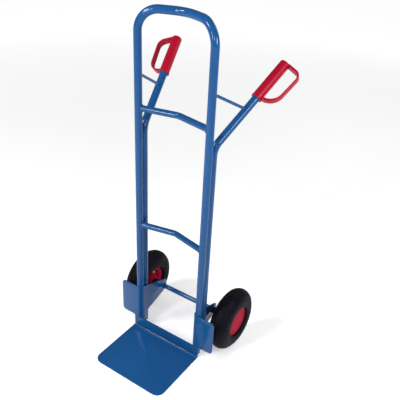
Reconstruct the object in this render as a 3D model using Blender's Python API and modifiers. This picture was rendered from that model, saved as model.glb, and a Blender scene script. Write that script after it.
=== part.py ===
"""Hand truck: a bent-tube frame with two handle tubes, a folded toe plate and two pneumatic wheels.

Metres, +Z up. The load leans on the frame from -Y, the handles reach back towards +Y, and "left" is -X.
Sizes are stated from the load face (the toe plate's upright front face, y = 0) and from the floor (z = 0).
One empty, hand_truck, moves everything so that the origin is the middle of the truck's footprint on the floor.
"""

import math

import bmesh
import bpy
from mathutils import Matrix, Vector

# ---- driving sizes ---------------------------------------------------------------------------------------

OVERALL_HEIGHT = 1.300

TUBE_DIAMETER = 0.027  # uprights, top bar and handle tubes
TUBE_WALL = 0.002
UPRIGHT_SPACING = 0.2866  # between the uprights' axes
UPRIGHT_FOOT_Z = 0.008
TOP_CORNER_RADIUS = 0.070
TOP_BAR_SET_BACK = 0.058  # how far the middle of the top bar is bowed back
TOP_BAR_BEND_RADIUS = 0.110

CROSSBAR_DIAMETER = 0.0225
CROSSBAR_WALL = 0.002
CROSSBAR_SET_BACK = 0.031
CROSSBAR_BEND_RADIUS = 0.045
UPPER_CROSSBAR_Z = 0.966
LOWER_CROSSBAR_Z = 0.504

HANDLE_FOOT_Z = 0.012
HANDLE_BEND_Z = 0.8955
HANDLE_BEND_RADIUS = 0.055
HANDLE_REACH = Vector((0.0769, 0.2901, 0.2231))  # from the bend to the grip's end: out, back, up
BRACE_DIAMETER = 0.010
BRACE_TOP_Z = 1.083
BRACE_FOOT_FROM_BEND = 0.168  # along the handle tube

GRIP_LENGTH = 0.156
GRIP_WALL = 0.0042
GRIP_END_WALL = 0.004
GRIP_COLLAR = 0.0013  # how far the collar at the lower end stands out
GRIP_COLLAR_LENGTH = 0.004
GUARD_TILT = math.radians(8)  # how far the guard's plane is turned about the grip
GUARD_TOP_REACH = 0.0733  # from the grip's axis to the guard's outside, near the grip's end
GUARD_LOW_REACH = 0.0658
GUARD_BAND = 0.0045
GUARD_END_BAND = 0.0078
GUARD_DEPTH = 0.021
GUARD_TOP_DROP = 0.0105  # how far its outer corner stays below the grip's end
GUARD_LOW_RISE = 0.005
GUARD_TOP_RADIUS = 0.026
GUARD_LOW_RADIUS = 0.050

TOE_DEPTH = 0.250
TOE_SHEET = 0.004
TOE_OVERHANG = 0.0167  # past each upright's axis
TOE_CORNER_RADIUS = 0.032
TOE_FOLD_RADIUS = 0.004
FLANGE_HEIGHT = 0.052

BRACKET_SHEET = 0.004
BRACKET_TOP_Z = 0.210
BRACKET_FOOT_Z = 0.027
WING_FOOT_Z = 0.056
WING_PAST_TYRE_CENTRE = 0.0118
WING_CORNER_RADIUS = 0.014
WEB_NECK_TOP_Z = 0.070
WEB_PAST_AXLE = 0.017
WEB_ABOVE_AXLE = 0.027
WEB_BELOW_AXLE = 0.019
WEB_CORNER_RADIUS = 0.015

TYRE_DIAMETER = 0.256
TYRE_WIDTH = 0.083
TYRE_SECTION_HEIGHT = 0.092  # of the oval that its tread and sides follow
TYRE_TREAD_WALL = 0.009
TYRE_SIDE_WALL = 0.006
TYRE_TO_TUBE_GAP = 0.0129  # between a tyre's inner side and the uprights
TYRE_TO_WING_GAP = 0.0200
INNER_TUBE_WALL = 0.002
INNER_TUBE_PLAY = 0.0009

BEAD_SEAT_DIAMETER = 0.100
RIM_FLANGE_HEIGHT = 0.011
RIM_HALF_WIDTH = 0.0275
RIM_LIP = 0.0035
RIM_WEB = 0.009
RIM_WALL = 0.004
BOSS_WALL = 0.0057
BEAD_WIDTH = 0.009

AXLE_DIAMETER = 0.020
AXLE_CHAMFER = 0.0015
HUB_INBOARD = 0.034  # hub's length on each side of the wheel's middle
HUB_OUTBOARD = 0.016
HUB_SLEEVE_WALL = 0.0027
BEARING_WALL = 0.0036
BEARING_LENGTH = 0.018
WASHER_WIDTH = 0.0065
WASHER_THICKNESS = 0.002
RING_THICKNESS = 0.0012
RING_GROOVE_DEPTH = 0.0011
RING_REACH = 0.0035  # past the axle's surface
AXLE_PAST_RING = 0.0032
SPACER_WALL = 0.0042

CAP_THICKNESS = 0.0022
CAP_DOME = 0.0035
CAP_SKIRT_DEPTH = 0.009
CAP_SKIRT_WALL = 0.002

BOLT_COUNT = 4
BOLT_DIAMETER = 0.006
HEX_ACROSS_CORNERS = 0.0115
BOLT_HEAD_HEIGHT = 0.004
NUT_HEIGHT = 0.005
BOLT_PAST_NUT = 0.002

VALVE_DIAMETER = 0.0075
VALVE_ANGLE = math.radians(40)  # round the wheel, between two bolts
VALVE_SLOPE = math.radians(41.5)  # away from the wheel's radius, towards the truck's middle
VALVE_LENGTH = 0.029

TOUCH_GAP = 0.0003  # between pieces that touch
RUN_GAP = 0.0003  # between pieces that turn on each other
VALVE_GAP = 0.0004

ARC_STEP = math.radians(15)
TUBE_SIDES = 16
CROSSBAR_SIDES = 12
ROD_SIDES = 8
WHEEL_STEPS = 28
HUB_STEPS = 16
AXLE_STEPS = 24
INNER_TUBE_STEPS = 16
MERGE_DISTANCE = 0.00001

# ---- sizes that follow -----------------------------------------------------------------------------------

TUBE_R = TUBE_DIAMETER / 2
CROSSBAR_R = CROSSBAR_DIAMETER / 2
BRACE_R = BRACE_DIAMETER / 2
AXLE_R = AXLE_DIAMETER / 2
BOLT_R = BOLT_DIAMETER / 2
VALVE_R = VALVE_DIAMETER / 2
TYRE_R = TYRE_DIAMETER / 2
BEAD_R = BEAD_SEAT_DIAMETER / 2
RIM_FLANGE_R = BEAD_R + RIM_FLANGE_HEIGHT

UPRIGHT_X = UPRIGHT_SPACING / 2
UPRIGHT_Y = max(TOE_SHEET, BRACKET_SHEET) + TOUCH_GAP + TUBE_R
HANDLE_Y = UPRIGHT_Y + TUBE_DIAMETER + TOUCH_GAP
TOP_BAR_Z = OVERALL_HEIGHT - TUBE_R

HANDLE_DIRECTION = HANDLE_REACH.normalized()
HANDLE_BEND = Vector((UPRIGHT_X, HANDLE_Y, HANDLE_BEND_Z))
GRIP_END = HANDLE_BEND + HANDLE_REACH
GRIP_BORE_R = TUBE_R + TOUCH_GAP
GRIP_R = GRIP_BORE_R + GRIP_WALL

TOE_HALF_WIDTH = UPRIGHT_X + TOE_OVERHANG
WHEEL_X = UPRIGHT_X + TUBE_R + TYRE_TO_TUBE_GAP + TYRE_WIDTH / 2
AXLE_Y = BRACKET_SHEET + TYRE_TO_WING_GAP + TYRE_R
AXLE_Z = TYRE_R
WEB_OUTER_X = UPRIGHT_X - TUBE_R - TOUCH_GAP
WEB_INNER_X = WEB_OUTER_X - BRACKET_SHEET

BEARING_BORE_R = AXLE_R + RUN_GAP
BEARING_R = BEARING_BORE_R + BEARING_WALL
SLEEVE_BORE_R = BEARING_R + TOUCH_GAP
SLEEVE_R = SLEEVE_BORE_R + HUB_SLEEVE_WALL
BOSS_BORE_R = SLEEVE_R + TOUCH_GAP
BOSS_R = BOSS_BORE_R + BOSS_WALL
RECESS_R = BEAD_R - RIM_WALL
WEB_RIM_R = RECESS_R - RIM_WALL
BOLT_CIRCLE_R = (BOSS_R + WEB_RIM_R) / 2 + 0.0005
OUTER_WASHER_U = HUB_OUTBOARD + RUN_GAP
RING_U = OUTER_WASHER_U + WASHER_THICKNESS + TOUCH_GAP
AXLE_END_U = RING_U + RING_THICKNESS + AXLE_PAST_RING
INNER_WASHER_U = -HUB_INBOARD - RUN_GAP - WASHER_THICKNESS

REAR_Y = GRIP_END.y + GRIP_R * math.sqrt(1 - HANDLE_DIRECTION.y**2)
LOAD_FACE_Y = (TOE_DEPTH - REAR_Y) / 2

PART_COLLECTION = "hand_truck_parts"
CUTTER_COLLECTION = "cutters"
SIDES = (("left", -1), ("right", 1))


# ---- scene and materials ---------------------------------------------------------------------------------


def clear_scene():
    """Remove every object, so the script gives the same model in any file."""
    for old in list(bpy.data.objects):
        bpy.data.objects.remove(old)


def new_collection(name):
    """A collection of this name under the scene's own."""
    collection = bpy.data.collections.new(name)
    bpy.context.scene.collection.children.link(collection)
    return collection


def new_material(name, colour, roughness, metallic):
    """A Principled material with one colour."""
    material = bpy.data.materials.new(name)
    material.use_nodes = True
    shader = material.node_tree.nodes["Principled BSDF"]
    shader.inputs["Base Color"].default_value = (*colour, 1)
    shader.inputs["Roughness"].default_value = roughness
    shader.inputs["Metallic"].default_value = metallic
    material.diffuse_color = (*colour, 1)
    return material


clear_scene()
parts = new_collection(PART_COLLECTION)
cutters = new_collection(CUTTER_COLLECTION)

BLUE_ENAMEL = new_material("blue_enamel", (0.025, 0.10, 0.29), 0.28, 0.0)
RED_PLASTIC = new_material("red_plastic", (0.52, 0.006, 0.03), 0.35, 0.0)
RED_RIM = new_material("red_rim", (0.45, 0.006, 0.035), 0.40, 0.0)
BLACK_RUBBER = new_material("black_rubber", (0.018, 0.018, 0.022), 0.75, 0.0)
ZINC_STEEL = new_material("zinc_steel", (0.62, 0.62, 0.60), 0.35, 1.0)
BEARING_STEEL = new_material("bearing_steel", (0.50, 0.50, 0.52), 0.25, 1.0)


def new_anchor(name, location, rotation=None, parent=None):
    """An empty that places the pieces under it."""
    anchor = bpy.data.objects.new(name, None)
    anchor.location = location
    if rotation is not None:
        anchor.rotation_euler = rotation.to_euler()
    anchor.parent = parent
    parts.objects.link(anchor)
    return anchor


truck = new_anchor("hand_truck", (0, LOAD_FACE_Y, 0))


# ---- modelling helpers -----------------------------------------------------------------------------------


def add_piece(name, mesh, material, parent=truck, placed=None):
    """One sub-part of the truck."""
    mesh.materials.clear()
    mesh.materials.append(material)
    piece = bpy.data.objects.new(name, mesh)
    parts.objects.link(piece)
    piece.parent = parent
    if placed is not None:
        piece.matrix_local = placed
    return piece


def add_cutter(name, mesh, parent=truck, placed=None):
    """A shape that only cuts or trims other pieces."""
    cutter = bpy.data.objects.new(name, mesh)
    cutters.objects.link(cutter)
    cutter.parent = parent
    if placed is not None:
        cutter.matrix_local = placed
    cutter.hide_render = True
    cutter.display_type = "WIRE"
    return cutter


def cut(piece, cutter, operation="DIFFERENCE"):
    """Cut a piece with another shape, or join or trim it."""
    modifier = piece.modifiers.new(cutter.name, "BOOLEAN")
    modifier.operation = operation
    modifier.solver = "EXACT"
    modifier.object = cutter


def weld(mesh):
    """Join a mesh's loose seams and turn its faces outwards."""
    work = bmesh.new()
    work.from_mesh(mesh)
    bmesh.ops.remove_doubles(work, verts=work.verts, dist=MERGE_DISTANCE)
    bmesh.ops.recalc_face_normals(work, faces=work.faces)
    work.to_mesh(mesh)
    work.free()


def mesh_of_curve(curve):
    """The curve's evaluated surface as a mesh."""
    holder = bpy.data.objects.new(curve.name, curve)
    bpy.context.scene.collection.objects.link(holder)
    evaluated = holder.evaluated_get(bpy.context.evaluated_depsgraph_get())
    mesh = bpy.data.meshes.new_from_object(evaluated)
    bpy.data.objects.remove(holder)
    weld(mesh)
    return mesh


def rounded_path(corners, closed=False):
    """Points along straight runs whose corners are arcs. Each corner is (point, radius)."""
    count = len(corners)
    points = []
    for index, (place, radius) in enumerate(corners):
        corner = Vector(place)
        if radius == 0 or (not closed and index in (0, count - 1)):
            points.append(corner)
            continue
        back = (Vector(corners[index - 1][0]) - corner).normalized()
        ahead = (Vector(corners[(index + 1) % count][0]) - corner).normalized()
        half_angle = back.angle(ahead) / 2
        centre = corner + (back + ahead).normalized() * (radius / math.sin(half_angle))
        first = corner + back * (radius / math.tan(half_angle)) - centre
        last = corner + ahead * (radius / math.tan(half_angle)) - centre
        turn = first.angle(last)
        axis = first.cross(last).normalized()
        steps = max(2, math.ceil(turn / ARC_STEP))
        for step in range(steps + 1):
            points.append(centre + Matrix.Rotation(turn * step / steps, 3, axis) @ first)
    return points


def new_curve(name, points, closed, dimensions):
    """A curve of one straight-sided spline."""
    curve = bpy.data.curves.new(name, "CURVE")
    curve.dimensions = dimensions
    spline = curve.splines.new("POLY")
    spline.points.add(len(points) - 1)
    for target, point in zip(spline.points, points, strict=True):
        target.co = (point.x, point.y, point.z, 1)
    spline.use_cyclic_u = closed
    return curve


def round_bar(name, corners, radius, sides, capped):
    """A round bar's surface along a bent path."""
    curve = new_curve(name, rounded_path(corners), False, "3D")
    curve.bevel_depth = radius
    curve.bevel_resolution = (sides - 4) // 2
    curve.use_fill_caps = capped
    return mesh_of_curve(curve)


def add_tube(name, corners, radius, wall, sides, material):
    """A bent round tube, open at both ends."""
    piece = add_piece(name, round_bar(name, corners, radius, sides, False), material)
    shell = piece.modifiers.new("wall", "SOLIDIFY")
    shell.thickness = wall
    shell.offset = -1
    piece.data.shade_smooth()
    return piece


def prism(name, corners, thickness):
    """A flat outline in X and Y, with its thickness halved about z = 0. Each corner is (x, y, radius)."""
    outline = rounded_path([((x, y, 0), radius) for x, y, radius in corners], closed=True)
    curve = new_curve(name, outline, True, "2D")
    curve.fill_mode = "BOTH"
    curve.extrude = thickness / 2
    return mesh_of_curve(curve)


def cylinder(name, radius, low, high, steps, places=((0, 0),)):
    """One or more upright cylinders from z = low to z = high."""
    mesh = bpy.data.meshes.new(name)
    work = bmesh.new()
    for x, y in places:
        bmesh.ops.create_cone(
            work,
            cap_ends=True,
            segments=steps,
            radius1=radius,
            radius2=radius,
            depth=high - low,
            matrix=Matrix.Translation((x, y, (low + high) / 2)),
        )
    work.to_mesh(mesh)
    work.free()
    return mesh


def box(name, low, high):
    """A box between two corners."""
    mesh = bpy.data.meshes.new(name)
    size = Vector(high) - Vector(low)
    work = bmesh.new()
    bmesh.ops.create_cube(work, size=1)
    bmesh.ops.scale(work, vec=size, verts=work.verts)
    bmesh.ops.translate(work, vec=Vector(low) + size / 2, verts=work.verts)
    work.to_mesh(mesh)
    work.free()
    return mesh


def turn_profile(piece, steps):
    """Turn a piece's profile into a solid about its own Z axis."""
    screw = piece.modifiers.new("turned", "SCREW")
    screw.axis = "Z"
    screw.steps = steps
    screw.render_steps = steps
    screw.use_merge_vertices = True
    screw.merge_threshold = MERGE_DISTANCE
    screw.use_smooth_shade = True


def add_turned(name, profile, steps, material, parent, closed=True):
    """A turned piece. Its profile of (radius, z) runs down its outer side, top to bottom."""
    mesh = bpy.data.meshes.new(name)
    edges = [(i, i + 1) for i in range(len(profile) - 1)]
    if closed:
        edges.append((len(profile) - 1, 0))
    mesh.from_pydata([(radius, 0, z) for radius, z in profile], edges, [])
    piece = add_piece(name, mesh, material, parent)
    turn_profile(piece, steps)
    return piece


def sleeve_profile(bore_radius, outer_radius, low, high):
    """The profile of a plain sleeve or washer."""
    return [(outer_radius, high), (outer_radius, low), (bore_radius, low), (bore_radius, high)]


def frame_matrix(origin, x_axis, y_axis):
    """A placing whose X and Y run along two perpendicular directions."""
    z_axis = x_axis.cross(y_axis)
    turn = Matrix((x_axis, y_axis, z_axis)).transposed().to_4x4()
    return Matrix.Translation(origin) @ turn


def mirrored(point, side):
    """A point of the right-hand side, taken to either side."""
    return Vector((side * point[0], point[1], point[2]))


# ---- frame -----------------------------------------------------------------------------------------------


def build_upright_frame():
    """The two uprights and the top bar, bent from one tube."""
    foot = (UPRIGHT_X, UPRIGHT_Y, UPRIGHT_FOOT_Z)
    corner = (UPRIGHT_X, UPRIGHT_Y, TOP_BAR_Z)
    middle = (0, UPRIGHT_Y + TOP_BAR_SET_BACK, TOP_BAR_Z)
    corners = [
        (mirrored(foot, -1), 0),
        (mirrored(corner, -1), TOP_CORNER_RADIUS),
        (middle, TOP_BAR_BEND_RADIUS),
        (corner, TOP_CORNER_RADIUS),
        (foot, 0),
    ]
    return add_tube("upright_frame", corners, TUBE_R, TUBE_WALL, TUBE_SIDES, BLUE_ENAMEL)


def upright_envelope(name, side):
    """The space that one upright takes, with the touching gap around it."""
    mesh = cylinder(name, TUBE_R + TOUCH_GAP, 0, OVERALL_HEIGHT, TUBE_SIDES * 2)
    return add_cutter(name, mesh, placed=Matrix.Translation((side * UPRIGHT_X, UPRIGHT_Y, 0)))


def build_crossbar(name, height, envelopes):
    """A crossbar, kinked back in the middle, whose ends fit round the uprights."""
    end = (UPRIGHT_X, UPRIGHT_Y, height)
    middle = (0, UPRIGHT_Y + CROSSBAR_SET_BACK, height)
    corners = [(mirrored(end, -1), 0), (middle, CROSSBAR_BEND_RADIUS), (end, 0)]
    piece = add_tube(name, corners, CROSSBAR_R, CROSSBAR_WALL, CROSSBAR_SIDES, BLUE_ENAMEL)
    for envelope in envelopes:
        cut(piece, envelope)
    return piece


def handle_corners(side, top):
    """The handle tube's path, from its foot behind the upright to a point near the grip's end."""
    foot = (UPRIGHT_X, HANDLE_Y, HANDLE_FOOT_Z)
    return [
        (mirrored(foot, side), 0),
        (mirrored(HANDLE_BEND, side), HANDLE_BEND_RADIUS),
        (mirrored(top, side), 0),
    ]


def build_handle(label, side):
    """A handle tube, which runs up behind its upright and then out and back to the grip."""
    top = GRIP_END - HANDLE_DIRECTION * (GRIP_END_WALL + TOUCH_GAP)
    corners = handle_corners(side, top)
    return add_tube(f"handle_tube_{label}", corners, TUBE_R, TUBE_WALL, TUBE_SIDES, BLUE_ENAMEL)


def build_brace(label, side, envelope):
    """The rod that stays the handle tube from its upright."""
    top = Vector((UPRIGHT_X, UPRIGHT_Y, BRACE_TOP_Z))
    foot = HANDLE_BEND + HANDLE_DIRECTION * BRACE_FOOT_FROM_BEND
    corners = [(mirrored(top, side), 0), (mirrored(foot, side), 0)]
    name = f"brace_rod_{label}"
    piece = add_piece(name, round_bar(name, corners, BRACE_R, ROD_SIDES, True), BLUE_ENAMEL)
    piece.data.shade_smooth()
    cut(piece, envelope)
    handle_space = handle_corners(side, GRIP_END)[1:]
    straight = [(point, 0) for point, _ in handle_space]
    name = f"handle_envelope_{label}"
    mesh = round_bar(name, straight, TUBE_R + TOUCH_GAP, TUBE_SIDES * 2, True)
    cut(piece, add_cutter(name, mesh))
    return piece


def grip_frame(side):
    """A grip's own frame: origin at its lower end, X towards the guard, Y up the grip."""
    along = mirrored(HANDLE_DIRECTION, side)
    outward = Vector((side, 0, 0))
    outward = (outward - along * outward.dot(along)).normalized()
    tilt = Matrix.Rotation(side * GUARD_TILT, 3, along)
    origin = mirrored(GRIP_END, side) - along * GRIP_LENGTH
    return frame_matrix(origin, tilt @ outward, along)


def guard_outline():
    """The guard's outline beside the grip, from the grip's wall round its outside and back inside."""
    root = (GRIP_BORE_R + GRIP_R) / 2 - 0.0003
    top = GRIP_LENGTH
    top_inside = top - GUARD_END_BAND
    drop = GUARD_TOP_DROP
    far_top = GUARD_TOP_REACH - GUARD_BAND
    far_low = GUARD_LOW_REACH - GUARD_BAND
    low = GUARD_LOW_RISE
    return [
        (root, low, 0),
        (GUARD_LOW_REACH, low, GUARD_LOW_RADIUS),
        (GUARD_TOP_REACH, top - drop, GUARD_TOP_RADIUS),
        (root, top, 0),
        (root, top_inside, 0),
        (far_top, top_inside - drop, GUARD_TOP_RADIUS - GUARD_BAND),
        (far_low, low + GUARD_END_BAND, GUARD_LOW_RADIUS - GUARD_END_BAND),
        (root, low + GUARD_END_BAND, 0),
    ]


def build_grip(label, side):
    """A plastic grip: a sleeve closed at its end, and the hand guard moulded onto it."""
    placed = grip_frame(side)
    guard = add_cutter(
        f"guard_{label}", prism(f"guard_{label}", guard_outline(), GUARD_DEPTH), placed=placed
    )
    crown = GRIP_R * 0.12
    profile = [
        (0, GRIP_LENGTH),
        (GRIP_R - crown, GRIP_LENGTH),
        (GRIP_R, GRIP_LENGTH - crown),
        (GRIP_R, GRIP_COLLAR_LENGTH + GRIP_COLLAR),
        (GRIP_R + GRIP_COLLAR, GRIP_COLLAR_LENGTH),
        (GRIP_R + GRIP_COLLAR, 0),
        (GRIP_BORE_R, 0),
        (GRIP_BORE_R, GRIP_LENGTH - GRIP_END_WALL),
        (0, GRIP_LENGTH - GRIP_END_WALL),
    ]
    piece = add_turned(f"grip_{label}", profile, TUBE_SIDES, RED_PLASTIC, truck, closed=False)
    piece.matrix_local = placed @ Matrix.Rotation(math.radians(-90), 4, "X")
    cut(piece, guard, "UNION")
    return piece


# ---- sheet metal -----------------------------------------------------------------------------------------


def build_toe_plate():
    """The toe plate, folded up at the back and trimmed to its plan with round front corners."""
    outer_fold = TOE_FOLD_RADIUS + TOE_SHEET
    blank = 1.2
    outline = [
        (-TOE_DEPTH * blank, 0, 0),
        (TOE_SHEET, 0, outer_fold),
        (TOE_SHEET, FLANGE_HEIGHT, 0),
        (0, FLANGE_HEIGHT, 0),
        (0, TOE_SHEET, TOE_FOLD_RADIUS),
        (-TOE_DEPTH * blank, TOE_SHEET, 0),
    ]
    side_view = frame_matrix(Vector(), Vector((0, 1, 0)), Vector((0, 0, 1)))
    mesh = prism("toe_plate", outline, 2 * TOE_HALF_WIDTH * blank)
    piece = add_piece("toe_plate", mesh, BLUE_ENAMEL, placed=side_view)
    plan = [
        (-TOE_HALF_WIDTH, 2 * TOE_SHEET, 0),
        (-TOE_HALF_WIDTH, -TOE_DEPTH, TOE_CORNER_RADIUS),
        (TOE_HALF_WIDTH, -TOE_DEPTH, TOE_CORNER_RADIUS),
        (TOE_HALF_WIDTH, 2 * TOE_SHEET, 0),
    ]
    cut(piece, add_cutter("toe_plan", prism("toe_plan", plan, 4 * FLANGE_HEIGHT)), "INTERSECT")
    return piece


def bracket_strip():
    """The bracket's bent sheet seen from above, for the right-hand side."""
    wing_end = WHEEL_X + 2 * WING_PAST_TYRE_CENTRE
    rear = AXLE_Y + 2 * WEB_PAST_AXLE
    wing_back = UPRIGHT_Y - TUBE_R - TOUCH_GAP
    bend = TUBE_R + TOUCH_GAP
    return [
        (wing_end, wing_back - BRACKET_SHEET, 0),
        (WEB_INNER_X, wing_back - BRACKET_SHEET, bend + BRACKET_SHEET),
        (WEB_INNER_X, rear, 0),
        (WEB_OUTER_X, rear, 0),
        (WEB_OUTER_X, wing_back, bend),
        (wing_end, wing_back, 0),
    ]


def wing_outline():
    """What the bracket keeps, seen from the front, for the right-hand side."""
    inside = WEB_INNER_X - BRACKET_SHEET
    step = TOE_HALF_WIDTH + BRACKET_SHEET
    wing_end = WHEEL_X + WING_PAST_TYRE_CENTRE
    return [
        (inside, BRACKET_FOOT_Z, 0),
        (step, BRACKET_FOOT_Z, 0),
        (step, WING_FOOT_Z, 0),
        (wing_end, WING_FOOT_Z, WING_CORNER_RADIUS),
        (wing_end, BRACKET_TOP_Z, WING_CORNER_RADIUS),
        (inside, BRACKET_TOP_Z, 0),
    ]


def web_outline():
    """What the bracket keeps, seen from its side: a neck, and an arm back to the axle."""
    front = -2 * BRACKET_SHEET
    neck = HANDLE_Y - TUBE_R / 2
    rear = AXLE_Y + WEB_PAST_AXLE
    return [
        (front, BRACKET_FOOT_Z / 2, 0),
        (neck, BRACKET_FOOT_Z / 2, 0),
        (neck, WEB_NECK_TOP_Z, 0.010),
        (rear, AXLE_Z - WEB_BELOW_AXLE, WEB_CORNER_RADIUS),
        (rear, AXLE_Z + WEB_ABOVE_AXLE, WEB_CORNER_RADIUS),
        (UPRIGHT_Y, BRACKET_TOP_Z, 0),
        (UPRIGHT_Y, BRACKET_TOP_Z * 1.2, 0),
        (front, BRACKET_TOP_Z * 1.2, 0),
    ]


def for_side(outline, side):
    """An outline of the right-hand side, taken to either side."""
    return [(side * x, y, radius) for x, y, radius in outline]


def build_bracket(label, side, axle_hole):
    """A wheel bracket: a wing in front of the tyre, bent round the upright into a web for the axle."""
    middle = Matrix.Translation((0, 0, BRACKET_TOP_Z / 2))
    name = f"wheel_bracket_{label}"
    mesh = prism(name, for_side(bracket_strip(), side), 1.2 * BRACKET_TOP_Z)
    piece = add_piece(name, mesh, BLUE_ENAMEL, placed=middle)

    front_view = frame_matrix(Vector((0, AXLE_Y / 2, 0)), Vector((1, 0, 0)), Vector((0, 0, 1)))
    mesh = prism(f"wing_view_{label}", for_side(wing_outline(), side), 2 * AXLE_Y)
    cut(piece, add_cutter(f"wing_view_{label}", mesh, placed=front_view), "INTERSECT")

    side_view = frame_matrix(Vector(), Vector((0, 1, 0)), Vector((0, 0, 1)))
    mesh = prism(f"web_view_{label}", web_outline(), 4 * WHEEL_X)
    cut(piece, add_cutter(f"web_view_{label}", mesh, placed=side_view), "INTERSECT")

    low = (-WHEEL_X * 2, -TOE_SHEET, -TOE_SHEET)
    high = (WHEEL_X * 2, TOE_SHEET + TOUCH_GAP, FLANGE_HEIGHT + TOUCH_GAP)
    cut(piece, add_cutter(f"flange_space_{label}", box(f"flange_space_{label}", low, high)))
    cut(piece, axle_hole)
    return piece


# ---- axle ------------------------------------------------------------------------------------------------


def outward_turn(side):
    """A turn that takes +Z outwards from the truck's middle, on one side."""
    return Matrix.Rotation(side * math.radians(90), 4, "Y")


def build_axle():
    """The through axle, with a groove near each end for its retaining ring."""
    half = WHEEL_X + AXLE_END_U
    groove_far = WHEEL_X + RING_U + RING_THICKNESS + TOUCH_GAP
    groove_near = WHEEL_X + RING_U - TOUCH_GAP
    groove_r = AXLE_R - RING_GROOVE_DEPTH
    upper = [
        (0, half),
        (AXLE_R - AXLE_CHAMFER, half),
        (AXLE_R, half - AXLE_CHAMFER),
        (AXLE_R, groove_far),
        (groove_r, groove_far),
        (groove_r, groove_near),
        (AXLE_R, groove_near),
    ]
    lower = [(radius, -z) for radius, z in reversed(upper)]
    middle = new_anchor("axle_middle", (0, AXLE_Y, AXLE_Z), outward_turn(1), truck)
    return add_turned("axle", upper + lower, AXLE_STEPS, BLUE_ENAMEL, middle, closed=False)


def build_axle_hole():
    """The hole that the axle takes through both brackets."""
    mesh = cylinder("axle_hole", AXLE_R + TOUCH_GAP, -WHEEL_X, WHEEL_X, AXLE_STEPS)
    placed = Matrix.Translation((0, AXLE_Y, AXLE_Z)) @ outward_turn(1)
    return add_cutter("axle_hole", mesh, placed=placed)


def ring_mesh(name):
    """An open retaining ring, flat, with its gap on one side."""
    inner = AXLE_R - RING_GROOVE_DEPTH + TOUCH_GAP
    outer = AXLE_R + RING_REACH
    gap_angle = math.radians(50)
    steps = HUB_STEPS
    angles = [gap_angle / 2 + (2 * math.pi - gap_angle) * i / steps for i in range(steps + 1)]
    outside = [(outer * math.cos(a), outer * math.sin(a), 0) for a in angles]
    inside = [(inner * math.cos(a), inner * math.sin(a), 0) for a in reversed(angles)]
    return prism(name, outside + inside, RING_THICKNESS)


def build_axle_fittings(label, side):
    """The spacer, washers and retaining ring that keep one wheel in its place on the axle."""
    seat = new_anchor(
        f"axle_end_{label}", (side * WHEEL_X, AXLE_Y, AXLE_Z), outward_turn(side), truck
    )
    bore = AXLE_R + RUN_GAP
    washer_r = bore + WASHER_WIDTH
    spacer_low = WEB_OUTER_X + TOUCH_GAP - WHEEL_X
    spacer_high = INNER_WASHER_U - TOUCH_GAP
    spacer = sleeve_profile(bore, bore + SPACER_WALL, spacer_low, spacer_high)
    inner = sleeve_profile(bore, washer_r, INNER_WASHER_U, INNER_WASHER_U + WASHER_THICKNESS)
    outer = sleeve_profile(bore, washer_r, OUTER_WASHER_U, OUTER_WASHER_U + WASHER_THICKNESS)
    add_turned(f"axle_spacer_{label}", spacer, HUB_STEPS, ZINC_STEEL, seat)
    add_turned(f"inner_washer_{label}", inner, HUB_STEPS, ZINC_STEEL, seat)
    add_turned(f"outer_washer_{label}", outer, HUB_STEPS, ZINC_STEEL, seat)
    ring_place = Matrix.Translation((0, 0, RING_U + RING_THICKNESS / 2))
    name = f"retaining_ring_{label}"
    add_piece(name, ring_mesh(name), ZINC_STEEL, seat, ring_place)


# ---- wheels ----------------------------------------------------------------------------------------------

SIDE_TURN = math.radians(114)  # from the tread's middle round the outside to the rim's flange
BEAD_TURN = math.radians(148)  # from the tread's middle round the inside to the bead
TREAD_POINTS = 13
CAVITY_POINTS = 11
BEAD_HEIGHT = 0.0065
HEEL_U = RIM_HALF_WIDTH - RIM_LIP - TOUCH_GAP
TOE_U = HEEL_U - BEAD_WIDTH
BEAD_TOP_R = BEAD_R + TOUCH_GAP + BEAD_HEIGHT
CAVITY_HALF_WIDTH = TYRE_WIDTH / 2 - TYRE_SIDE_WALL
CAVITY_R = TYRE_R - TYRE_TREAD_WALL


def section_arc(half_width, half_height, middle_radius, turn, count):
    """Points (radius, u) of a tyre section, from +u over the tread to -u."""
    angles = [turn - 2 * turn * i / (count - 1) for i in range(count)]
    return [
        (middle_radius + half_height * math.cos(a), half_width * math.sin(a)) for a in angles
    ]


def build_tyre(label, hub):
    """The tyre: a hollow casing with a bead on each edge, open towards the rim."""
    bead_r = BEAD_R + TOUCH_GAP
    flange_top = RIM_FLANGE_R + 2 * TOUCH_GAP
    half_height = TYRE_SECTION_HEIGHT / 2
    centre_r = TYRE_R - half_height
    outside = section_arc(TYRE_WIDTH / 2, half_height, centre_r, SIDE_TURN, TREAD_POINTS)
    middle = (BEAD_TOP_R + CAVITY_R) / 2
    inside = section_arc(CAVITY_HALF_WIDTH, CAVITY_R - middle, middle, BEAD_TURN, CAVITY_POINTS)
    low_bead = [
        (flange_top, -HEEL_U),
        (bead_r, -HEEL_U),
        (bead_r, -TOE_U),
        (BEAD_TOP_R, -TOE_U),
    ]
    high_bead = [(radius, -u) for radius, u in reversed(low_bead)]
    profile = outside + low_bead + inside[::-1] + high_bead
    return add_turned(f"tyre_{label}", profile, WHEEL_STEPS, BLACK_RUBBER, hub)


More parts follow.
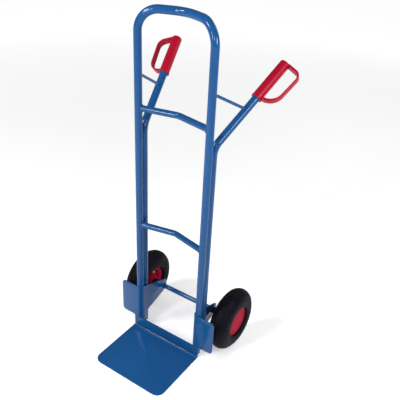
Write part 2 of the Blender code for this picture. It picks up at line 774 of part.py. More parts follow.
def build_inner_tube(label, hub, valve_hole):
    """The inner tube inside the tyre, pierced where its valve stem leaves it."""
    crown = CAVITY_R * math.cos(math.pi / WHEEL_STEPS) - INNER_TUBE_PLAY
    half_width = CAVITY_HALF_WIDTH - INNER_TUBE_PLAY
    bead_top = BEAD_TOP_R / math.cos(math.pi / INNER_TUBE_STEPS)
    middle = (bead_top + INNER_TUBE_PLAY + crown) / 2
    top = section_arc(half_width, crown - middle, middle, BEAD_TURN, CAVITY_POINTS)
    throat = TOE_U - INNER_TUBE_PLAY
    shoulder = bead_top + 2 * INNER_TUBE_PLAY
    floor = BEAD_R + 4 * INNER_TUBE_PLAY
    low = [(shoulder, -throat), (floor, -throat), (floor, throat), (shoulder, throat)]
    name = f"inner_tube_{label}"
    piece = add_turned(name, top + low, INNER_TUBE_STEPS, BLACK_RUBBER, hub)
    shell = piece.modifiers.new("wall", "SOLIDIFY")
    shell.thickness = INNER_TUBE_WALL
    shell.offset = -1
    cut(piece, valve_hole)
    return piece


def rim_profile(boss_end):
    """Half of the rim, from the middle of the wheel out to the flange on the +u side."""
    split = TOUCH_GAP / 2
    lip_u = RIM_HALF_WIDTH - RIM_LIP
    seat_end = lip_u / 2
    return [
        (RIM_FLANGE_R, RIM_HALF_WIDTH),
        (RIM_FLANGE_R, lip_u),
        (BEAD_R, lip_u),
        (BEAD_R, seat_end),
        (BEAD_R - RIM_LIP, seat_end - RIM_LIP),
        (BEAD_R - RIM_LIP, split),
        (BOSS_BORE_R, split),
        (BOSS_BORE_R, boss_end),
        (BOSS_R - 0.001, boss_end),
        (BOSS_R, RIM_WEB),
        (WEB_RIM_R, RIM_WEB),
        (RECESS_R, lip_u - 0.001),
        (RIM_FLANGE_R - RIM_WALL, RIM_HALF_WIDTH),
    ]


def build_rim(label, hub, bolt_holes, valve_hole):
    """The two rim halves, which the bolts hold together."""
    outer = rim_profile(HUB_OUTBOARD - TOUCH_GAP)
    inner = [(radius, -u) for radius, u in reversed(rim_profile(HUB_INBOARD - TOUCH_GAP))]
    rim_outer = add_turned(f"rim_outer_{label}", outer, WHEEL_STEPS, RED_RIM, hub)
    rim_inner = add_turned(f"rim_inner_{label}", inner, WHEEL_STEPS, RED_RIM, hub)
    cut(rim_outer, bolt_holes)
    cut(rim_inner, bolt_holes)
    cut(rim_inner, valve_hole)


def bolt_places():
    """Where the bolts stand round the hub."""
    step = 2 * math.pi / BOLT_COUNT
    angles = [step * (i + 0.5) for i in range(BOLT_COUNT)]
    return [(BOLT_CIRCLE_R * math.cos(a), BOLT_CIRCLE_R * math.sin(a)) for a in angles]


def build_bolts(label, hub):
    """The rim's bolts and nuts: heads on the inner side, nuts under the hub cap."""
    head_top = -RIM_WEB - TOUCH_GAP
    nut_low = RIM_WEB + TOUCH_GAP
    shank_end = nut_low + NUT_HEIGHT + BOLT_PAST_NUT
    hex_r = HEX_ACROSS_CORNERS / 2
    head = cylinder("bolt_head", hex_r, head_top - BOLT_HEAD_HEIGHT, head_top, 6)
    shank = cylinder("bolt_shank", BOLT_R, head_top - BOLT_HEAD_HEIGHT / 2, shank_end, ROD_SIDES)
    nut = cylinder("nut", hex_r, nut_low, nut_low + NUT_HEIGHT, 6)
    thread = cylinder("nut_thread", BOLT_R + TOUCH_GAP, 0, 2 * shank_end, ROD_SIDES)
    for index, (x, y) in enumerate(bolt_places(), start=1):
        place = Matrix.Translation((x, y, 0))
        bolt = add_piece(f"rim_bolt_{label}_{index}", head, ZINC_STEEL, hub, place)
        cut(bolt, add_cutter(f"shank_{label}_{index}", shank, hub, place), "UNION")
        nut_piece = add_piece(f"rim_nut_{label}_{index}", nut, ZINC_STEEL, hub, place)
        cut(nut_piece, add_cutter(f"thread_{label}_{index}", thread, hub, place))


def build_hub(label, hub):
    """The steel sleeve in the hub and the two roller bearings in its ends."""
    sleeve = sleeve_profile(SLEEVE_BORE_R, SLEEVE_R, -HUB_INBOARD, HUB_OUTBOARD)
    add_turned(f"hub_sleeve_{label}", sleeve, HUB_STEPS, ZINC_STEEL, hub)
    outboard_low = HUB_OUTBOARD - BEARING_LENGTH
    inboard_high = BEARING_LENGTH - HUB_INBOARD
    inboard = sleeve_profile(BEARING_BORE_R, BEARING_R, -HUB_INBOARD, inboard_high)
    outboard = sleeve_profile(BEARING_BORE_R, BEARING_R, outboard_low, HUB_OUTBOARD)
    add_turned(f"roller_bearing_inboard_{label}", inboard, HUB_STEPS, BEARING_STEEL, hub)
    add_turned(f"roller_bearing_outboard_{label}", outboard, HUB_STEPS, BEARING_STEEL, hub)


def build_hub_cap(label, hub):
    """The smooth cap that covers the outer rim half, with a skirt that snaps into its recess."""
    seat = RIM_HALF_WIDTH + TOUCH_GAP
    skirt_r = WEB_RIM_R + 0.001
    rings = 5

    def dome(radius):
        return seat + CAP_THICKNESS + CAP_DOME * (1 - (radius / RIM_FLANGE_R) ** 2)

    radii = [RIM_FLANGE_R * i / rings for i in range(rings + 1)]
    outside = [(radius, dome(radius)) for radius in radii]
    underside = [
        (RIM_FLANGE_R, seat),
        (skirt_r, seat),
        (skirt_r, seat - CAP_SKIRT_DEPTH),
        (skirt_r - CAP_SKIRT_WALL, seat - CAP_SKIRT_DEPTH),
        (skirt_r - CAP_SKIRT_WALL, dome(skirt_r) - CAP_THICKNESS),
        (0, dome(0) - CAP_THICKNESS),
    ]
    name = f"hub_cap_{label}"
    return add_turned(name, outside + underside, WHEEL_STEPS, RED_RIM, hub, closed=False)


def valve_matrix():
    """The valve stem's placing in its wheel: Z runs from the inner tube down through the rim wall."""
    start = Vector((BEAD_R + RIM_FLANGE_HEIGHT / 2, 0, -TOE_U / 4))
    turn = Matrix.Rotation(VALVE_ANGLE, 4, "Z")
    slope = Matrix.Rotation(math.radians(180) + math.radians(90) - VALVE_SLOPE, 4, "Y")
    return turn @ Matrix.Translation(start) @ slope


def build_valve(label, hub):
    """The valve stem, from inside the tube through the rim wall into the inner recess."""
    name = f"valve_stem_{label}"
    mesh = cylinder(name, VALVE_R, 0, VALVE_LENGTH, HUB_STEPS // 2)
    return add_piece(name, mesh, BLACK_RUBBER, hub, valve_matrix())


def build_wheel(label, side):
    """One wheel, under an empty on its own spin axis whose +Z points outwards."""
    place = (side * WHEEL_X, AXLE_Y, AXLE_Z)
    hub = new_anchor(f"wheel_{label}_spin_axis", place, outward_turn(side), truck)
    hole_r = BOLT_R + TOUCH_GAP
    mesh = cylinder(
        f"bolt_holes_{label}", hole_r, -HUB_INBOARD, HUB_INBOARD, ROD_SIDES, bolt_places()
    )
    bolt_holes = add_cutter(f"bolt_holes_{label}", mesh, hub)
    hole_r = VALVE_R + VALVE_GAP
    mesh = cylinder(f"valve_hole_{label}", hole_r, -0.003, VALVE_LENGTH, HUB_STEPS // 2)
    valve_hole = add_cutter(f"valve_hole_{label}", mesh, hub, valve_matrix())
    build_tyre(label, hub)
    build_inner_tube(label, hub, valve_hole)
    build_rim(label, hub, bolt_holes, valve_hole)
    build_bolts(label, hub)
    build_hub(label, hub)
    build_hub_cap(label, hub)
    build_valve(label, hub)


# ---- the truck -------------------------------------------------------------------------------------------


def build_truck():
    """Every piece of the hand truck."""
    build_upright_frame()
    envelopes = {label: upright_envelope(f"upright_envelope_{label}", side) for label, side in SIDES}
    build_crossbar("crossbar_upper", UPPER_CROSSBAR_Z, envelopes.values())
    build_crossbar("crossbar_lower", LOWER_CROSSBAR_Z, envelopes.values())
    build_toe_plate()
    build_axle()
    axle_hole = build_axle_hole()
    for label, side in SIDES:
        build_handle(label, side)
        build_brace(label, side, envelopes[label])
        build_grip(label, side)
        build_bracket(label, side, axle_hole)
        build_axle_fittings(label, side)
        build_wheel(label, side)


build_truck()
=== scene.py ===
"""Looks of a two-wheeled hand truck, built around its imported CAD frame.

The CAD bodies give every place. Tubes, sheet parts, grips and wheels are rebuilt here with fine surfaces in
the same space, welds and tread are grown by Geometry Nodes, and each finish is a procedural material.
"""

from __future__ import annotations

import logging
import math
from dataclasses import dataclass
from enum import Enum
from typing import Callable, Iterable, Sequence

import bmesh
import bpy
from mathutils import Matrix, Vector


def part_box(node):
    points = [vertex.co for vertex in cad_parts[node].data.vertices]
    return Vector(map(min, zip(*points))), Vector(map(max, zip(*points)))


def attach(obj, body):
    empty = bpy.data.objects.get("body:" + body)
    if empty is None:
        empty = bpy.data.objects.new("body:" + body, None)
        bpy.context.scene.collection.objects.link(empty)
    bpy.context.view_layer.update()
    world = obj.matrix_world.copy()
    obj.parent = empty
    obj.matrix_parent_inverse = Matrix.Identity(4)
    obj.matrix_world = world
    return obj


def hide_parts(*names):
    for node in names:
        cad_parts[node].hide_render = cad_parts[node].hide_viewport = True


LOG = logging.getLogger("hand_truck")

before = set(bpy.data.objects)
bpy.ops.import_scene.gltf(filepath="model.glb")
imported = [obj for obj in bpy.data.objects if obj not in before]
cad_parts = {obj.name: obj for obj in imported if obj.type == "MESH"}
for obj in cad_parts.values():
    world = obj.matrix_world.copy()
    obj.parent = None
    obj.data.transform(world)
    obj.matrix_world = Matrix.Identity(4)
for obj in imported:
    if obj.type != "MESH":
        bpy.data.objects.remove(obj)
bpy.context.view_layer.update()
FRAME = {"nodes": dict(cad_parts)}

MERGE_DISTANCE = 0.00001
TOUCH_GAP = 0.0003
TOE_DEPTH = 0.250
SHEET = 0.004
SHEET_EDGE = 0.0007
AXLE_RADIUS = 0.010
HUB_INBOARD = 0.034
HUB_OUTBOARD = 0.016
ARC_STEP = math.radians(6)
SMOOTH_ANGLE = math.radians(32)

Mesh = bpy.types.Mesh
Material = bpy.types.Material
Socket = bpy.types.NodeSocket
Corner = tuple[Sequence[float], float]
Profile = list[tuple[float, float]]
Line = tuple[Sequence[Vector], bool]


class Body(Enum):
    """The CAD bodies that pieces ride on."""

    FRAME = "frame"
    WHEEL_LEFT = "wheel_left"
    WHEEL_RIGHT = "wheel_right"


class Side(Enum):
    """The truck's two sides, with the sign of X on each."""

    LEFT = -1
    RIGHT = 1

    @property
    def label(self) -> str:
        """The side's name as the CAD nodes spell it."""
        return self.name.lower()

    @property
    def wheel(self) -> Body:
        """The body of this side's wheel."""
        return Body[f"WHEEL_{self.name}"]


class Slot(Enum):
    """The record's material slots, passed along with the pieces but not used to set their finish."""

    ENAMEL = "blue_enamel"
    GRIP = "grip_plastic"
    RIM = "rim_plastic"
    TYRE = "tyre_rubber"
    TUBE = "tube_rubber"
    ZINC = "zinc_steel"


# ---- finishes --------------------------------------------------------------------------------------------


class NodeLayout:
    """A node tree that is being laid out."""

    tree: bpy.types.NodeTree

    def add(self, kind: str, **settings: object) -> bpy.types.Node:
        """Add a node with some of its settings.

        Args:
            kind: the node's type.
            **settings: its settings by name.

        Returns:
            The node.
        """
        node = self.tree.nodes.new(kind)
        for key, value in settings.items():
            setattr(node, key, value)
        return node

    def join(self, source: Socket, target: Socket) -> None:
        """Link two sockets."""
        self.tree.links.new(source, target)

    def maths(self, operation: str, first: object, second: object = None) -> Socket:
        """A Math node on sockets or numbers.

        Args:
            operation: what the node works out.
            first: its first socket or number.
            second: its second, where it has one.

        Returns:
            The result.
        """
        node = self.add("ShaderNodeMath", operation=operation)
        for index, value in enumerate((first, second)):
            if isinstance(value, Socket):
                self.join(value, node.inputs[index])
            elif value is not None:
                node.inputs[index].default_value = value
        return node.outputs[0]

    def length(self, vector: Socket) -> Socket:
        """The length of a vector."""
        node = self.add("ShaderNodeVectorMath", operation="LENGTH")
        self.join(vector, node.inputs[0])
        return node.outputs["Value"]


class NodeSheet(NodeLayout):
    """A material's nodes, round its Principled shader."""

    def __init__(self, name: str) -> None:
        """Start a material with a Principled shader.

        Args:
            name: the material's name.
        """
        self.material = bpy.data.materials.new(name)
        self.material.use_nodes = True
        self.tree = self.material.node_tree
        self.shader = self.tree.nodes["Principled BSDF"]
        self.place = self.add("ShaderNodeTexCoord").outputs["Object"]

    def set(self, **values: object) -> None:
        """Set the shader's own inputs, with spaces in their names written as underscores."""
        for key, value in values.items():
            self.shader.inputs[key.replace("_", " ")].default_value = value

    def drive(self, label: str, value: Socket) -> None:
        """Let a pattern set one of the shader's inputs."""
        self.join(value, self.shader.inputs[label])

    def stretched(self, scale: Sequence[float], origin: Sequence[float] = (0, 0, 0)) -> Socket:
        """Object coordinates about an origin, scaled along each axis.

        Args:
            scale: how much each axis is scaled.
            origin: the point that becomes the pattern's centre.

        Returns:
            The scaled place.
        """
        mapping = self.add("ShaderNodeMapping", vector_type="POINT")
        mapping.inputs["Location"].default_value = [-o * s for o, s in zip(origin, scale)]
        mapping.inputs["Scale"].default_value = scale
        self.join(self.place, mapping.inputs["Vector"])
        return mapping.outputs["Vector"]

    def noise(self, scale: float, detail: float = 2.0, place: Socket | None = None) -> Socket:
        """A noise value.

        Args:
            scale: features per metre.
            detail: octaves.
            place: the coordinates it reads, or the object's own.

        Returns:
            The noise from 0 to 1.
        """
        node = self.add("ShaderNodeTexNoise")
        node.inputs["Scale"].default_value = scale
        node.inputs["Detail"].default_value = detail
        self.join(place or self.place, node.inputs["Vector"])
        return node.outputs["Fac"]

    def ranged(
        self, value: Socket, low: float, high: float, start: float = 0.3, end: float = 0.7
    ) -> Socket:
        """A value stretched from start..end to low..high.

        Args:
            value: what is stretched.
            low: the result at start.
            high: the result at end.
            start: where the range begins.
            end: where the range ends.

        Returns:
            The clamped result.
        """
        node = self.add("ShaderNodeMapRange")
        node.inputs["From Min"].default_value = start
        node.inputs["From Max"].default_value = end
        node.inputs["To Min"].default_value = low
        node.inputs["To Max"].default_value = high
        self.join(value, node.inputs["Value"])
        return node.outputs["Result"]

    def mixed(self, factor: Socket, first: object, second: object) -> Socket:
        """Two colours mixed by a factor.

        Args:
            factor: how much of the second colour shows.
            first: a colour or a socket.
            second: a colour or a socket.

        Returns:
            The mixed colour.
        """
        node = self.add("ShaderNodeMix", data_type="RGBA")
        self.join(factor, node.inputs[0])
        for socket, colour in ((node.inputs[6], first), (node.inputs[7], second)):
            if isinstance(colour, Socket):
                self.join(colour, socket)
            else:
                socket.default_value = (*colour, 1)
        return node.outputs[2]

    def bump(self, heights: Iterable[tuple[Socket, float]]) -> None:
        """Raise the surface by several patterns.

        Args:
            heights: each pattern, with its height in metres.
        """
        normal = None
        for value, height in heights:
            node = self.add("ShaderNodeBump")
            node.inputs["Strength"].default_value = 1.0
            node.inputs["Distance"].default_value = height
            self.join(value, node.inputs["Height"])
            if normal is not None:
                self.join(normal, node.inputs["Normal"])
            normal = node.outputs["Normal"]
        if normal is not None:
            self.drive("Normal", normal)

    def axis_radius(self, centre: Sequence[float]) -> Socket:
        """The distance from the axis along X through a point."""
        return self.length(self.stretched((0, 1, 1), centre))


@dataclass(frozen=True)
class Finish:
    """What every finish has: a name, a colour and its lowest and highest roughness."""

    name: str
    colour: tuple[float, float, float]
    roughness: tuple[float, float]

    def build(self) -> Material:
        """Make the finish's material."""
        sheet = NodeSheet(self.name)
        self.dress(sheet)
        return sheet.material

    def roughen(self, sheet: NodeSheet, pattern: Socket) -> None:
        """Spread the roughness between its two values by a pattern."""
        sheet.drive("Roughness", sheet.ranged(pattern, *self.roughness))

    def dress(self, sheet: NodeSheet) -> None:
        """Lay out the finish's own nodes.

        Args:
            sheet: the material's nodes.
        """
        raise NotImplementedError


@dataclass(frozen=True)
class PowderCoat(Finish):
    """Glossy enamel over steel, with a faint orange peel and handling haze."""

    shade: float = 0.86
    peel: float = 0.000001
    coat: float = 0.22
    coat_roughness: float = 0.06
    gloss: float = 0.16

    def dress(self, sheet: NodeSheet) -> None:
        """Mix two blues by a slow cloud, haze the gloss and add the peel.

        Args:
            sheet: the material's nodes.
        """
        cloud = sheet.noise(5.0, 3.0)
        darker = tuple(c * self.shade for c in self.colour)
        sheet.drive("Base Color", sheet.mixed(sheet.ranged(cloud, 0, 1), self.colour, darker))
        self.roughen(sheet, sheet.noise(26.0, 5.0))
        sheet.set(Specular_IOR_Level=self.gloss, Coat_Weight=self.coat, Coat_Roughness=self.coat_roughness)
        sheet.bump([(sheet.noise(420.0, 1.0), self.peel), (sheet.noise(90.0, 1.0), self.peel * 2)])


@dataclass(frozen=True)
class MouldedPlastic(Finish):
    """Moulded plastic with a spark-eroded grain and slight flow marks."""

    deep: tuple[float, float, float] = (0.30, 0.0020, 0.014)
    gloss: float = 0.20
    grain: float = 0.00003
    grain_scale: float = 900.0

    def dress(self, sheet: NodeSheet) -> None:
        """Shade the colour along flow marks and roughen it with the grain.

        Args:
            sheet: the material's nodes.
        """
        flow = sheet.noise(1.0, 4.0, sheet.stretched((26, 26, 9)))
        grain = sheet.noise(self.grain_scale, 2.0)
        tone = sheet.mixed(sheet.ranged(flow, 0, 0.55, 0.35, 0.75), self.colour, self.deep)
        speck = sheet.ranged(grain, 0.0, 0.22, 0.60, 0.72)
        pale = tuple(min(1.0, c * 1.3 + 0.006) for c in self.colour)
        sheet.drive("Base Color", sheet.mixed(speck, tone, pale))
        self.roughen(sheet, grain)
        sheet.set(Specular_IOR_Level=self.gloss)
        sheet.bump([(grain, self.grain), (flow, self.grain)])


@dataclass(frozen=True)
class TyreRubber(Finish):
    """Vulcanised rubber with rings from its mould, and a bloom of dust that grows towards the tread."""

    bloom: tuple[float, float, float] = (0.017, 0.016, 0.022)
    centre: tuple[float, float, float] = (0, 0, 0)
    tread_radius: float = 0.128
    dusty_from: float = 0.86
    ring_pitch: float = 0.0042
    gloss: float = 0.05

    def dress(self, sheet: NodeSheet) -> None:
        """Add mould rings on the side, a mottled bloom and dust on the tread.

        Args:
            sheet: the material's nodes.
        """
        radius = sheet.axis_radius(self.centre)
        mottle = sheet.noise(38.0, 5.0)
        fine = sheet.noise(700.0, 3.0)
        tread = sheet.ranged(radius, 0.1, 1.0, self.tread_radius * self.dusty_from, self.tread_radius)
        dusty = sheet.maths("MULTIPLY", sheet.ranged(mottle, 0.05, 0.75, 0.42, 0.72), tread)
        sheet.drive("Base Color", sheet.mixed(dusty, self.colour, self.bloom))
        self.roughen(sheet, mottle)
        wave = sheet.maths("PINGPONG", radius, self.ring_pitch / 2)
        rings = sheet.ranged(wave, 0, 1, 0, self.ring_pitch / 2)
        sheet.set(Specular_IOR_Level=self.gloss)
        sheet.bump([(rings, 0.00006), (fine, 0.00003), (mottle, 0.0001)])


@dataclass(frozen=True)
class PlainRubber(Finish):
    """Thin soft rubber with a talc bloom."""

    def dress(self, sheet: NodeSheet) -> None:
        """Mottle the colour and the gloss.

        Args:
            sheet: the material's nodes.
        """
        talc = sheet.noise(120.0, 4.0)
        pale = tuple(c + 0.03 for c in self.colour)
        sheet.drive("Base Color", sheet.mixed(sheet.ranged(talc, 0, 0.6, 0.5, 0.8), self.colour, pale))
        self.roughen(sheet, talc)
        sheet.bump([(sheet.noise(900.0, 2.0), 0.00002)])


@dataclass(frozen=True)
class PlatedSteel(Finish):
    """Bright plated or ground steel, with turning marks about the axle's direction."""

    tint: tuple[float, float, float] = (0.60, 0.58, 0.48)
    marks: float = 0.000008

    def dress(self, sheet: NodeSheet) -> None:
        """Mix a passivated tint in and draw fine marks round the X axis.

        Args:
            sheet: the material's nodes.
        """
        sheet.set(Metallic=1.0)
        stain = sheet.noise(160.0, 4.0)
        turned = sheet.noise(1.0, 2.0, sheet.stretched((3800, 140, 140)))
        sheet.drive("Base Color", sheet.mixed(sheet.ranged(stain, 0, 0.7), self.colour, self.tint))
        self.roughen(sheet, turned)
        sheet.bump([(turned, self.marks)])


# ---- mesh making -----------------------------------------------------------------------------------------


def fillet_path(corners: Sequence[Corner], closed: bool = False, step: float = ARC_STEP) -> list[Vector]:
    """Points along straight runs whose corners are arcs.

    Args:
        corners: each corner's place and radius.
        closed: whether the last corner joins the first.
        step: the widest angle between two points of an arc.

    Returns:
        The points in order.
    """
    count = len(corners)
    points: list[Vector] = []
    for index, (place, radius) in enumerate(corners):
        corner = Vector(place)
        if radius == 0 or (not closed and index in (0, count - 1)):
            points.append(corner)
            continue
        back = (Vector(corners[index - 1][0]) - corner).normalized()
        ahead = (Vector(corners[(index + 1) % count][0]) - corner).normalized()
        half_angle = back.angle(ahead) / 2
        centre = corner + (back + ahead).normalized() * (radius / math.sin(half_angle))
        first = corner + back * (radius / math.tan(half_angle)) - centre
        last = corner + ahead * (radius / math.tan(half_angle)) - centre
        turn = first.angle(last)
        axis = first.cross(last).normalized()
        steps = max(2, math.ceil(turn / step))
        points.extend(
            centre + Matrix.Rotation(turn * i / steps, 3, axis) @ first for i in range(steps + 1)
        )
    return points


def round_profile(corners: Sequence[tuple[float, float, float]], step: float = math.radians(30)) -> Profile:
    """A closed profile of (radius, u, corner radius) with its corners rounded.

    Args:
        corners: the profile's corners.
        step: the widest angle between two points of a corner.

    Returns:
        The rounded profile.
    """
    path = fillet_path([((r, u, 0), fillet) for r, u, fillet in corners], closed=True, step=step)
    return [(point.x, point.y) for point in path]


def close_and_face_out(mesh: Mesh) -> Mesh:
    """Merge a mesh's doubles and turn its faces outwards.

    Args:
        mesh: a closed mesh.

    Returns:
        The same mesh.
    """
    work = bmesh.new()
    work.from_mesh(mesh)
    bmesh.ops.remove_doubles(work, verts=work.verts, dist=MERGE_DISTANCE)
    bmesh.ops.recalc_face_normals(work, faces=work.faces)
    work.to_mesh(mesh)
    work.free()
    return mesh


def bridge(
    work: bmesh.types.BMesh, low: Sequence[bmesh.types.BMVert], high: Sequence[bmesh.types.BMVert]
) -> None:
    """Join two rings with faces.

    Args:
        work: the bmesh that both rings are in.
        low: the first ring.
        high: the second ring, of as many points.
    """
    count = len(low)
    for i in range(count):
        j = (i + 1) % count
        work.faces.new((low[i], low[j], high[j], high[i]))


def taken_from(work: bmesh.types.BMesh, name: str) -> Mesh:
    """A closed mesh from a finished bmesh, which is freed.

    Args:
        work: the bmesh.
        name: the mesh's name.

    Returns:
        The mesh, with its faces outwards.
    """
    mesh = bpy.data.meshes.new(name)
    work.to_mesh(mesh)
    work.free()
    return close_and_face_out(mesh)


def on_stage(name: str, data: bpy.types.ID) -> bpy.types.Object:
    """A new object in the scene's own collection."""
    thing = bpy.data.objects.new(name, data)
    bpy.context.scene.collection.objects.link(thing)
    return thing


def full_turn(count: int) -> list[float]:
    """Evenly spread angles of a full turn."""
    return [2 * math.pi * i / count for i in range(count)]


def swept_tube(name: str, path: Sequence[Vector], outer: float, wall: float, sides: int) -> Mesh:
    """A bent tube with square ends, or a solid rod where the wall is as thick as its radius.

    Args:
        name: the mesh's name.
        path: the points of the tube's axis.
        outer: its outer radius.
        wall: the thickness of its wall.
        sides: how many faces go round it.

    Returns:
        The tube's mesh.
    """
    directions = [(b - a).normalized() for a, b in zip(path, path[1:])]
    tangents = (
        [directions[0]]
        + [(a + b).normalized() for a, b in zip(directions, directions[1:])]
        + [directions[-1]]
    )
    start = Vector((1, 0, 0)) if abs(tangents[0].x) < 0.8 else Vector((0, 0, 1))
    across = (start - tangents[0] * start.dot(tangents[0])).normalized()
    frames = []
    for index, tangent in enumerate(tangents):
        if index:
            across = tangents[index - 1].rotation_difference(tangent) @ across
            across = (across - tangent * across.dot(tangent)).normalized()
        frames.append((across, tangent.cross(across)))
    solid = wall >= outer
    radii = (outer,) if solid else (outer, outer - wall)
    work = bmesh.new()
    shells = []
    for radius in radii:
        rings = []
        for point, (x_axis, y_axis) in zip(path, frames):
            spokes = [x_axis * math.cos(a) + y_axis * math.sin(a) for a in full_turn(sides)]
            rings.append([work.verts.new(point + spoke * radius) for spoke in spokes])
        for low, high in zip(rings, rings[1:]):
            bridge(work, low, high)
        shells.append(rings)
    for end in (0, -1):
        if solid:
            work.faces.new(shells[0][end])
        else:
            bridge(work, shells[0][end], shells[1][end])
    return taken_from(work, name)


def rod(name: str, ends: Sequence[Vector], radius: float, sides: int) -> Mesh:
    """A solid round bar from one point to another."""
    return swept_tube(name, ends, radius, radius, sides)


def turned(name: str, profile: Profile, steps: int, closed: bool = True) -> Mesh:
    """A profile of (radius, u) turned about Z, where u is the height along Z.

    Args:
        name: the mesh's name.
        profile: its points. Points on the axis are left single.
        steps: how many faces go round.
        closed: whether the last point joins the first.

    Returns:
        The turned mesh.
    """
    work = bmesh.new()
    rings = []
    for radius, height in profile:
        if radius < MERGE_DISTANCE:
            rings.append([work.verts.new((0, 0, height))])
            continue
        rings.append(
            [work.verts.new((radius * math.cos(a), radius * math.sin(a), height)) for a in full_turn(steps)]
        )
    pairs = list(zip(rings, rings[1:]))
    if closed:
        pairs.append((rings[-1], rings[0]))
    for low, high in pairs:
        if len(low) == 1 and len(high) == 1:
            continue
        if len(low) == 1 or len(high) == 1:
            tip, ring = (low[0], high) if len(low) == 1 else (high[0], low)
            for i in range(steps):
                work.faces.new((tip, ring[i], ring[(i + 1) % steps]))
            continue
        bridge(work, low, high)
    return taken_from(work, name)


def evaluated_mesh(holder: bpy.types.Object) -> Mesh:
    """What an object and its modifiers make, as a plain mesh. The object is removed.

    Args:
        holder: the object.

    Returns:
        The plain mesh.
    """
    bpy.context.view_layer.update()
    evaluated = holder.evaluated_get(bpy.context.evaluated_depsgraph_get())
    mesh = bpy.data.meshes.new_from_object(evaluated)
    bpy.data.objects.remove(holder)
    return mesh


def flat_blank(name: str, outlines: Sequence[Sequence[Vector]], thickness: float) -> Mesh:
    """A flat sheet from z = 0 to its thickness, with holes where an outline lies inside another.

    Args:
        name: the mesh's name.
        outlines: closed outlines in X and Y.
        thickness: the sheet's thickness.

    Returns:
        The sheet's mesh.
    """
    curve = bpy.data.curves.new(name, "CURVE")
    curve.dimensions = "2D"
    curve.fill_mode = "BOTH"
    curve.extrude = thickness / 2
    for outline in outlines:
        spline = curve.splines.new("POLY")
        spline.points.add(len(outline) - 1)
        for target, point in zip(spline.points, outline):
            target.co = (point.x, point.y, 0, 1)
        spline.use_cyclic_u = True
    mesh = evaluated_mesh(on_stage(name, curve))
    mesh.transform(Matrix.Translation((0, 0, thickness / 2)))
    return close_and_face_out(mesh)


def bent(mesh: Mesh, start: float, length: float, steps: int, place: Callable[[Vector], Vector]) -> Mesh:
    """Bend a flat sheet: cut it along lines of constant X, then move each point.

    Args:
        mesh: the flat sheet.
        start: the X where the bend starts.
        length: the bend's length along X.
        steps: how many faces go round the bend.
        place: takes a flat point to its bent place.

    Returns:
        The same mesh, bent.
    """
    work = bmesh.new()
    work.from_mesh(mesh)
    for index in range(steps + 1):
        line = (start + length * index / steps, 0, 0)
        geometry = work.verts[:] + work.edges[:] + work.faces[:]
        bmesh.ops.bisect_plane(work, geom=geometry, plane_co=line, plane_no=(1, 0, 0), dist=1e-7)
    for vert in work.verts:
        vert.co = place(vert.co.copy())
    bmesh.ops.recalc_face_normals(work, faces=work.faces)
    work.to_mesh(mesh)
    work.free()
    return mesh


def with_modifier(mesh: Mesh, kind: str, **settings: object) -> Mesh:
    """A mesh after one modifier.

    Args:
        mesh: what the modifier works on.
        kind: the modifier's type.
        **settings: its settings by name.

    Returns:
        The resulting mesh.
    """
    holder = on_stage(f"{mesh.name}_work", mesh)
    modifier = holder.modifiers.new(kind.lower(), kind)
    for key, value in settings.items():
        setattr(modifier, key, value)
    return evaluated_mesh(holder)


def softened(mesh: Mesh, width: float, segments: int = 2) -> Mesh:
    """A mesh with its sharp edges rounded over.

    Args:
        mesh: a closed mesh.
        width: how far from its edge the rounding starts.
        segments: how many faces go across it.

    Returns:
        The rounded mesh.
    """
    return with_modifier(
        mesh,
        "BEVEL",
        width=width,
        segments=segments,
        limit_method="ANGLE",
        angle_limit=math.radians(50),
        use_clamp_overlap=True,
    )


def combined(mesh: Mesh, other: Mesh, operation: str) -> Mesh:
    """Two closed meshes joined or cut by an exact boolean.

    Args:
        mesh: the first mesh.
        other: the mesh that joins or cuts it.
        operation: UNION, DIFFERENCE or INTERSECT.

    Returns:
        The closed result.
    """
    cutter = on_stage(f"{other.name}_work", other)
    result = with_modifier(mesh, "BOOLEAN", operation=operation, solver="EXACT", object=cutter)
    bpy.data.objects.remove(cutter)
    return close_and_face_out(result)


def joined(name: str, meshes: Sequence[Mesh]) -> Mesh:
    """Several meshes in one.

    Args:
        name: the mesh's name.
        meshes: the meshes, which don't touch.

    Returns:
        The mesh of them all.
    """
    work = bmesh.new()
    for mesh in meshes:
        work.from_mesh(mesh)
    result = bpy.data.meshes.new(name)
    work.to_mesh(result)
    work.free()
    return result


def moved(mesh: Mesh, matrix: Matrix) -> Mesh:
    """A mesh after its place is put into its points."""
    mesh.transform(matrix)
    mesh.update()
    return mesh


# ---- node trees that repeat things -----------------------------------------------------------------------


